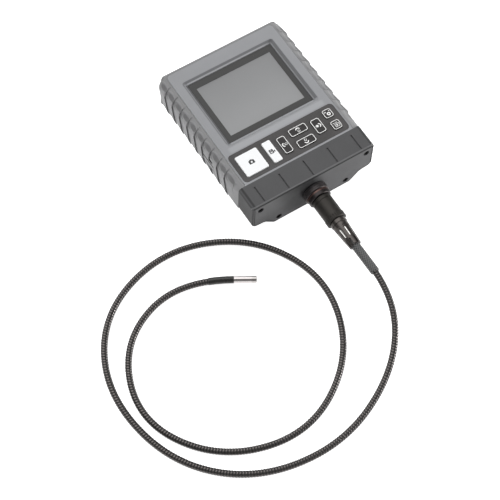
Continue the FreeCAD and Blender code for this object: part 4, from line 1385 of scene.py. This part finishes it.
# ---------------------------------------------------------------- gooseneck
@dataclass
class Gooseneck:
    """The wound gooseneck and the smooth sleeve at its end, laid along one spline."""

    radius: float = 2.7
    groove: float = 0.28
    groove_profile: tuple[float, ...] = (0.0, 0.0, 0.1, 0.8, 1.0, 0.8, 0.1, 0.0)
    pitch: float = 2.21
    sides: int = 16
    length: float = 1.0637
    exit: Place = (0.0, -150.6, 19.2)
    ferrule_radius: float = 2.95
    ferrule_long: float = 20.0
    ferrule_edge: float = 0.15
    ferrule_sides: int = 32
    ferrule_steps: int = 20
    smoothness: int = 48
    order: int = 3
    route: tuple[Place, ...] = (
        (0.0, -148.0, 19.2), (0.0, -180.0, 17.0), (-32.5, -223.3, 4.3), (-96.4, -251.1, 2.95),
        (-167.1, -240.0, 2.95), (-214.3, -192.5, 2.95), (-225.1, -119.5, 2.95), (-192.1, -61.5, 2.95),
        (-123.9, -39.4, 2.95), (-59.1, -67.0, 2.95), (-28.8, -128.1, 2.95), (-51.1, -193.5, 2.95),
        (-112.2, -231.0, 2.95), (-180.3, -212.4, 2.95), (-216.5, -154.2, 2.95), (-192.6, -91.0, 2.95),
        (-129.8, -68.4, 2.95), (-92.1, -91.2, 2.95),
    )

    def spline_points(self) -> list[Vector]:
        """Lays the route's spline.

        Returns:
            The points along it, in metres.
        """
        curve = bpy.data.curves.new("neck_line", "CURVE")
        curve.dimensions = "3D"
        curve.resolution_u = self.smoothness
        line = curve.splines.new("NURBS")
        line.points.add(len(self.route) - 1)
        for point, place in zip(line.points, self.route):
            point.co = (*(Vector(place) * MM), 1.0)
        line.order_u = self.order
        line.use_endpoint_u = True
        holder = add_object("neck_line", curve)
        bpy.context.view_layer.update()
        mesh = bpy.data.meshes.new_from_object(holder)
        points = [vertex.co.copy() for vertex in mesh.vertices]
        bpy.data.meshes.remove(mesh)
        bpy.data.objects.remove(holder)
        bpy.data.curves.remove(curve)
        return points

    @staticmethod
    def frames(points: Sequence[Vector], stations: Iterable[float]) -> list[tuple[Vector, Vector, Vector]]:
        """Finds places along a line, each with two directions square to it.

        Args:
            points: The line.
            stations: Distances from its start, rising.

        Returns:
            The place, the side and the upward direction at each distance.
        """
        runs = [0.0]
        for before, after in zip(points, points[1:]):
            runs.append(runs[-1] + (after - before).length)
        found = []
        index = 0
        for station in stations:
            while index < len(points) - 2 and runs[index + 1] < station:
                index += 1
            share = (station - runs[index]) / (runs[index + 1] - runs[index])
            place = points[index].lerp(points[index + 1], share)
            last = max(index - 1, 0)
            following = min(index + 2, len(points) - 1)
            coming = (points[index + 1] - points[last]).normalized()
            going = (points[following] - points[index]).normalized()
            way = coming.lerp(going, min(max(share, 0.0), 1.0)).normalized()
            side = way.cross(Vector((0.0, 0.0, 1.0))).normalized()
            found.append((place, side, side.cross(way)))
        return found

    def wound(self, points: Sequence[Vector], total: float) -> bmesh.types.BMesh:
        """Winds the ribbed tube: one thread whose ridge climbs a pitch in each turn.

        Args:
            points: The line that it follows.
            total: The line's length, in metres.

        Returns:
            The tube, with its second material, a painted shade, in the groove.
        """
        profile = self.groove_profile
        steps = len(profile)
        sunk = [before > 0.0 and after > 0.0 for before, after in zip(profile, (*profile[1:], 0.0))]
        climb = self.pitch * MM
        rings = (int(total / climb) - 1) * steps
        shape = bmesh.new()
        grid = []
        for side, turn in enumerate(turns(self.sides)):
            stations = [climb * side / self.sides + climb / steps * ring for ring in range(rings)]
            column = []
            for ring, (place, across, upward) in enumerate(self.frames(points, stations)):
                radius = (self.radius - self.groove * profile[ring % steps]) * MM
                column.append(shape.verts.new(place + spoke(across, upward, turn) * radius))
            grid.append(column)
        for side, column in enumerate(grid):
            nearer = grid[(side + 1) % self.sides]
            shift = steps if side == self.sides - 1 else 0
            for ring in range(rings - 1 - shift):
                face = shape.faces.new(
                    (column[ring], column[ring + 1], nearer[ring + 1 + shift], nearer[ring + shift])
                )
                face.smooth = True
                face.material_index = int(sunk[ring % steps])
        return shape

    def sleeve(self, points: Sequence[Vector], start: float, end: float) -> bmesh.types.BMesh:
        """Shapes the smooth end sleeve, with its turned-in edges.

        Args:
            points: The line that it follows.
            start: Where along the line it starts, in metres.
            end: Where it ends.

        Returns:
            The closed sleeve.
        """
        steps = self.ferrule_steps
        inner = [start + (end - start) * step / steps for step in range(1, steps)]
        edge = self.ferrule_edge * MM
        stations = [start, start + edge, *inner, end - edge, end]
        shape = bmesh.new()
        rings = []
        for index, (place, across, upward) in enumerate(self.frames(points, stations)):
            trimmed = index in (0, len(stations) - 1)
            radius = (self.ferrule_radius - (self.ferrule_edge if trimmed else 0.0)) * MM
            spokes = [spoke(across, upward, turn) for turn in turns(self.ferrule_sides)]
            rings.append([shape.verts.new(place + out * radius) for out in spokes])
        for before, after in zip(rings, rings[1:]):
            join_rings(shape, before, after, smooth=True)
        shape.faces.new(rings[0])
        shape.faces.new(rings[-1][::-1])
        return shape

    def build(self, model: Model) -> None:
        """Args:
            model: The loaded frame.
        """
        points = self.spline_points()
        total = sum((after - before).length for before, after in zip(points, points[1:]))
        LOG.info("gooseneck line is %.4f m long", total)
        marks = {"marks_mm": 0.8, "depth_mm": 0.01}
        ridge = Metal("wound_ridge", (0.1, 0.091, 0.088), roughness=0.27, rubbed=0.2, **marks)
        # The near-black groove material is painted shade between the ridges.
        groove = Metal(
            "wound_groove_shade", (0.014, 0.014, 0.014), roughness=0.45, metallic=0.3, rubbed=0.1, **marks
        )
        neck = model.add("wound_gooseneck", self.wound(points, total), ridge, "probe", "neck")
        neck.data.materials.append(model.finish(groove))
        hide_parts("gooseneck")
        smooth = Metal(
            "smooth_black", (0.03, 0.029, 0.028), roughness=0.28, metallic=0.5, marks_mm=1.2, depth_mm=0.004
        )
        end = self.sleeve(points, total - self.ferrule_long * MM, total)
        ferrule = model.add("smooth_end_sleeve", end, smooth, "probe", "neck_end")
        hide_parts("end_ferrule")


# ---------------------------------------------------------------- keypad
class Mark(Enum):
    """The mark that a key carries."""

    STILL = "still picture"
    MOVING = "moving picture"
    LEFT = "left"
    UP = "up"
    DOWN = "down"
    RIGHT = "right"
    POWER = "power"
    MENU = "menu"


@dataclass(frozen=True)
class Key:
    """One key: its place and size in millimetres, and its mark."""

    x: float
    y: float
    width: float
    height: float
    mark: Mark

    @property
    def white(self) -> bool:
        """Tells whether the key is moulded in white."""
        return self.mark in (Mark.STILL, Mark.MOVING)


@dataclass
class Keypad:
    """The key panel: the dark overlay, two white keys and six dark keys with printed marks."""

    top: float = 40.5
    corner: float = 1.5
    outline: float = 0.52
    margin: float = 0.1
    line: float = 0.4
    bold: float = 0.85
    keys: tuple[tuple[str, Key], ...] = (
        ("key_photo", Key(-35.2, -26.5, 20.0, 20.4, Mark.STILL)),
        ("key_video", Key(-16.3, -26.5, 7.7, 20.8, Mark.MOVING)),
        ("key_left", Key(-4.3, -26.7, 7.2, 16.2, Mark.LEFT)),
        ("key_up", Key(12.2, -20.6, 15.8, 7.2, Mark.UP)),
        ("key_down", Key(12.2, -32.8, 15.8, 7.4, Mark.DOWN)),
        ("key_right", Key(28.2, -25.8, 7.8, 14.0, Mark.RIGHT)),
        ("key_power", Key(41.2, -20.0, 7.6, 8.1, Mark.POWER)),
        ("key_menu", Key(41.2, -32.4, 7.6, 8.3, Mark.MENU)),
    )
    arrowhead: tuple[Point, ...] = ((-0.75, 1.75), (0.35, 0.85), (0.6, 0.0), (0.35, -0.85), (-0.75, -1.75))

    def still(self, stencil: Stencil) -> None:
        """Prints a small camera: body with a round lens, and a hump."""
        stencil.pierced((4.9, 3.3), 0.85)
        stencil.patch([(-1.3, 1.65), (1.3, 1.65), (0.8, 2.4), (-0.8, 2.4)])

    def moving(self, stencil: Stencil) -> None:
        """Prints a small film camera: body, two reels and lens hood.

        Args:
            stencil: The key's stencil.
        """
        stencil.stroke([(-2.0, -1.7), (0.7, -1.7), (0.7, -0.1), (-2.0, -0.1)], 0.75, closed=True)
        for across in (-1.5, 0.4):
            stencil.dot((across, 1.1), 0.85)
        stencil.patch([(1.2, -1.0), (2.5, -1.9), (2.5, 0.5), (1.2, -0.4)])

    def turned_arrow(self, stencil: Stencil, middle: Point, radius: float) -> None:
        """Prints a round arrow in thin lines.

        Args:
            stencil: The key's stencil.
            middle: The arrow's middle.
            radius: Its radius.
        """
        x, y = middle
        stencil.arc(middle, radius, (60.0, 340.0), self.line)
        head = ((0.4, 0.5), (1.4, 0.5), (1.0, -0.35))
        stencil.patch([(x + radius * across, y + radius * along) for across, along in head])

    def chevron(self, stencil: Stencil, middle: Point, degrees: float) -> None:
        """Prints a bold bent arrowhead.

        Args:
            stencil: The key's stencil.
            middle: The arrowhead's middle.
            degrees: The angle that it points along.
        """
        x, y = middle
        cosine, sine = on_circle((0.0, 0.0), 1.0, math.radians(degrees))
        line = [
            (x + along * cosine - across * sine, y + along * sine + across * cosine)
            for along, across in self.arrowhead
        ]
        stencil.stroke(line, self.bold)

    def left(self, stencil: Stencil) -> None:
        """Prints a chevron to the left beside a round arrow."""
        self.chevron(stencil, (-1.2, 0.0), 180.0)
        self.turned_arrow(stencil, (1.3, 0.1), 0.95)

    def up(self, stencil: Stencil) -> None:
        """Prints a chevron upwards over a round arrow."""
        self.chevron(stencil, (0.0, 1.2), 90.0)
        self.turned_arrow(stencil, (0.2, -1.1), 0.95)

    def down(self, stencil: Stencil) -> None:
        """Prints a chevron downwards under a round arrow."""
        self.chevron(stencil, (0.0, -1.2), -90.0)
        self.turned_arrow(stencil, (-0.1, 1.3), 0.9)

    def right(self, stencil: Stencil) -> None:
        """Prints a chevron to the right beside a filled mark.

        Args:
            stencil: The key's stencil.
        """
        self.chevron(stencil, (1.6, 0.0), 0.0)
        stencil.dot((-1.0, 0.0), 1.2)
        stencil.bar(-2.5, -1.7, -0.45, 0.45)

    def power(self, stencil: Stencil) -> None:
        """Prints a thick ring under two short bars and a dot.

        Args:
            stencil: The key's stencil.
        """
        stencil.arc((0.5, -0.7), 1.15, (0.0, 360.0), 0.95)
        for shift in (0.0, 0.95):
            stencil.bar(-2.5 + shift, -1.9 + shift, 1.2, 2.2)
        stencil.dot((2.0, 1.8), 0.5)

    def menu(self, stencil: Stencil) -> None:
        """Prints a small screen with a play mark under two bars.

        Args:
            stencil: The key's stencil.
        """
        stencil.stroke([(-1.3, -2.1), (2.3, -2.1), (2.3, 0.7), (-1.3, 0.7)], self.line, closed=True)
        stencil.patch([(-0.3, -1.6), (1.5, -0.7), (-0.3, 0.2)])
        for left, right in ((-2.3, -0.5), (0.3, 1.6)):
            stencil.bar(left, right, 1.6, 2.1)

    def build(self, model: Model) -> None:
        """Dresses the panel and its keys and prints their marks.

        Args:
            model: The loaded frame.
        """
        white = Moulded(
            "white_key", paint(244, 245, 246), roughness=0.45, grain=Grain.SATIN, uneven=0.01, specular=0.25
        )
        dark = Moulded("dark_key", paint(48, 46, 46), roughness=0.5, uneven=0.14, specular=0.25)
        panel = Moulded("panel_film", paint(73, 71, 71), roughness=0.48, uneven=0.16, specular=0.3)
        ink = Ink("white_ink", paint(250, 250, 249))
        dark_ink = Ink("dark_ink", paint(52, 52, 54))
        model.dress(panel, "keypad_overlay")
        drawings = {
            Mark.STILL: self.still, Mark.MOVING: self.moving, Mark.LEFT: self.left, Mark.UP: self.up,
            Mark.DOWN: self.down, Mark.RIGHT: self.right, Mark.POWER: self.power, Mark.MENU: self.menu,
        }
        for name, key in self.keys:
            model.dress(white if key.white else dark, name)
            stencil = Stencil((key.x, key.y), self.top)
            if not key.white:
                edge = self.outline + self.margin
                stencil.frame((key.width - edge, key.height - edge), self.corner, self.outline)
            drawings[key.mark](stencil)
            slot = "key_white" if key.white else "key_dark"
            model.add(f"{name}_print", stencil.shape, dark_ink if key.white else ink, name, slot)


# ---------------------------------------------------------------- display
@dataclass
class Display:
    """The window with its dark border, the gasket and the display behind it."""

    centre: Point = (0.0, 30.7)
    seen: Point = (70.0, 52.5)
    border: Colour = paint(44, 44, 43)
    clear: Colour = paint(145, 146, 147)
    film: Colour = paint(140, 141, 140)

    def build(self, model: Model) -> None:
        """Dresses the display's pieces.

        Args:
            model: The loaded frame.
        """
        window = PrintedWindow("window_print", self.centre, self.seen, self.border, self.clear)
        model.dress(window, "screen_window")
        model.dress(Moulded("black_foam", paint(38, 38, 38), roughness=0.85, uneven=0.1), "window_gasket")
        model.dress(DisplayGlass("display_film", self.film), "lcd_panel")
        model.dress(Moulded("black_bracket", paint(48, 48, 50), roughness=0.5), "lcd_bracket")


# ---------------------------------------------------------------- housing
@dataclass
class Housing:
    """The shells, the ribbed boot, the end cap and their screws."""

    grey: Colour = paint(146, 147, 150)
    boot: Colour = paint(137, 137, 138)
    # the darker tone painted into the boot's scoops as shade
    scoop_shade: Colour = paint(98, 98, 99)
    cover: Colour = paint(140, 140, 141)
    charcoal: Colour = paint(84, 84, 85)
    screws: Colour = (0.004, 0.004, 0.004)

    def build(self, model: Model) -> None:
        """Dresses the housing's pieces.

        Args:
            model: The loaded frame.
        """
        shell = {"roughness": 0.5, "uneven": 0.02, "specular": 0.3}
        model.dress(RecessedShell("front_grey", self.grey, **shell), "front_shell")
        model.dress(Moulded("grey_shell", self.grey, **shell), "back_shell")
        boot = GripRubber(
            "grip_rubber", self.boot, roughness=0.62, grain=Grain.SATIN, uneven=0.03, specular=0.3,
            scoop_shade=self.scoop_shade,
        )
        model.dress(boot, "grip_boot")
        model.dress(CapPlastic("charcoal_cap", self.charcoal, uneven=0.04, specular=0.15), "end_cap")
        screws = Moulded(
            "black_screws", self.screws, roughness=0.7, grain=Grain.SATIN, uneven=0.1, specular=0.04
        )
        model.dress(screws, "end_cap_screws", "case_screws")
        model.dress(Moulded("door_grey", self.grey, roughness=0.52, uneven=0.02), "battery_door")
        cover = CoverRubber(
            "cover_rubber", self.cover, roughness=0.64, grain=Grain.SATIN, uneven=0.04, specular=0.3
        )
        model.dress(cover, "port_cover")
        model.dress(Metal("pin_steel", paint(176, 176, 176), roughness=0.3), "port_pin")


# ---------------------------------------------------------------- inside
@dataclass
class Inside:
    """The boards, sockets, cables and cells inside the housing."""

    cells: int = 4

    def build(self, model: Model) -> None:
        """Dresses the pieces inside.

        Args:
            model: The loaded frame.
        """
        board = CircuitBoard("board_green", (0.012, 0.11, 0.05), (0.02, 0.18, 0.08), (0.75, 0.6, 0.25))
        model.dress(board, "main_board", "key_board", "sensor_board")
        model.dress(
            Moulded("epoxy", paint(44, 44, 45), roughness=0.6, grain=Grain.SATIN, uneven=0.1), "board_chips"
        )
        tin = Metal("tin_plate", paint(196, 196, 194), roughness=0.32, stretch=(1.0, 6.0, 1.0))
        model.dress(tin, "usb_socket", "card_socket")
        steel = Metal("screw_zinc", paint(188, 190, 192), roughness=0.35)
        model.dress(steel, "bracket_screws", "key_board_screws", "board_screws")
        flat = Striped("flat_cable", (0.42, 0.19, 0.04), (0.6, 0.33, 0.1), pitch_mm=0.5)
        model.dress(flat, "display_cable", "keypad_cable")
        mat = Moulded("silicone_mat", paint(150, 152, 156), roughness=0.7, grain=Grain.SATIN, uneven=0.03)
        model.dress(mat, "key_mat")
        model.dress(Moulded("tray_black", paint(50, 50, 52), roughness=0.5), "battery_tray")
        model.dress(Metal("contact_nickel", paint(190, 186, 178), roughness=0.28), "battery_contacts")
        wrap = Striped(
            "cell_wrap", (0.03, 0.1, 0.06), (0.55, 0.55, 0.52), pitch_mm=40.0, axis=1, share=0.16
        )
        model.dress(wrap, *(f"battery_cell_{number + 1}" for number in range(self.cells)))


# ---------------------------------------------------------------- connector
@dataclass
class Connector:
    """The panel socket, the plug with its coupling nut, the clamp and its sleeve."""

    barrel: Colour = (0.036, 0.033, 0.03)
    clamp: Colour = (0.07, 0.063, 0.059)
    socket: Colour = (0.08, 0.073, 0.074)

    def build(self, model: Model) -> None:
        """Dresses the connector's pieces.

        Args:
            model: The loaded frame.
        """
        lathe = {"marks_mm": 0.4, "stretch": (1.0, 5.0, 1.0), "depth_mm": 0.012, "rubbed": 0.25}
        model.dress(
            BandedMetal("banded_black", self.socket, roughness=0.46, metallic=0.8, **lathe), "panel_socket"
        )
        barrel = Metal("black_anodised", self.barrel, roughness=0.5, metallic=0.8, **lathe)
        model.dress(barrel, "coupling_nut", "plug_shell", "socket_nut")
        model.dress(
            FlutedMetal("fluted_black", self.clamp, roughness=0.27, metallic=0.85, **lathe), "cable_clamp"
        )
        seal = Moulded("black_seal", paint(36, 36, 36), roughness=0.7, grain=Grain.SATIN, uneven=0.1)
        model.dress(seal, "socket_seal")
        insert = Moulded(
            "insulator_black", paint(46, 46, 46), roughness=0.45, grain=Grain.SMOOTH, uneven=0.08
        )
        model.dress(insert, "socket_insert", "plug_insert")
        model.dress(Metal("gold_plate", (0.85, 0.6, 0.24), roughness=0.2), "socket_pins")
        model.dress(Woven("ribbed_sleeve", paint(101, 101, 101), pitch_mm=2.1), "strain_sleeve")


# ---------------------------------------------------------------- camera head
@dataclass
class CameraHead:
    """The bright head at the end of the gooseneck: tube, ring, glass, lens and lamps."""

    tube: Colour = (0.5, 0.47, 0.465)
    ring: Colour = (0.42, 0.4, 0.39)

    def build(self, model: Model) -> None:
        """Dresses the head's pieces.

        Args:
            model: The loaded frame.
        """
        model.dress(
            Metal("head_chrome", self.tube, roughness=0.1, depth_mm=0.002, rubbed=0.05), "head_shell"
        )
        model.dress(Metal("ring_chrome", self.ring, roughness=0.14, depth_mm=0.002), "lens_ring")
        model.dress(
            Lens("coated_glass", (0.03, 0.03, 0.04), (0.06, 0.05, 0.12)), "head_window", "head_lens"
        )
        model.dress(Lens("lamp_resin", (0.9, 0.88, 0.7), (0.95, 0.9, 0.6)), "head_lights")


def main() -> None:
    """Builds the dressed camera, piece by piece."""
    logging.basicConfig(level=logging.INFO, format="%(name)s: %(message)s")
    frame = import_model()
    model = Model(frame)
    Studio().build()
    Gooseneck().build(model)
    for part in (Housing(), Display(), Keypad(), Inside(), Connector(), CameraHead()):
        part.build(model)


if __name__ == "__main__":
    main()
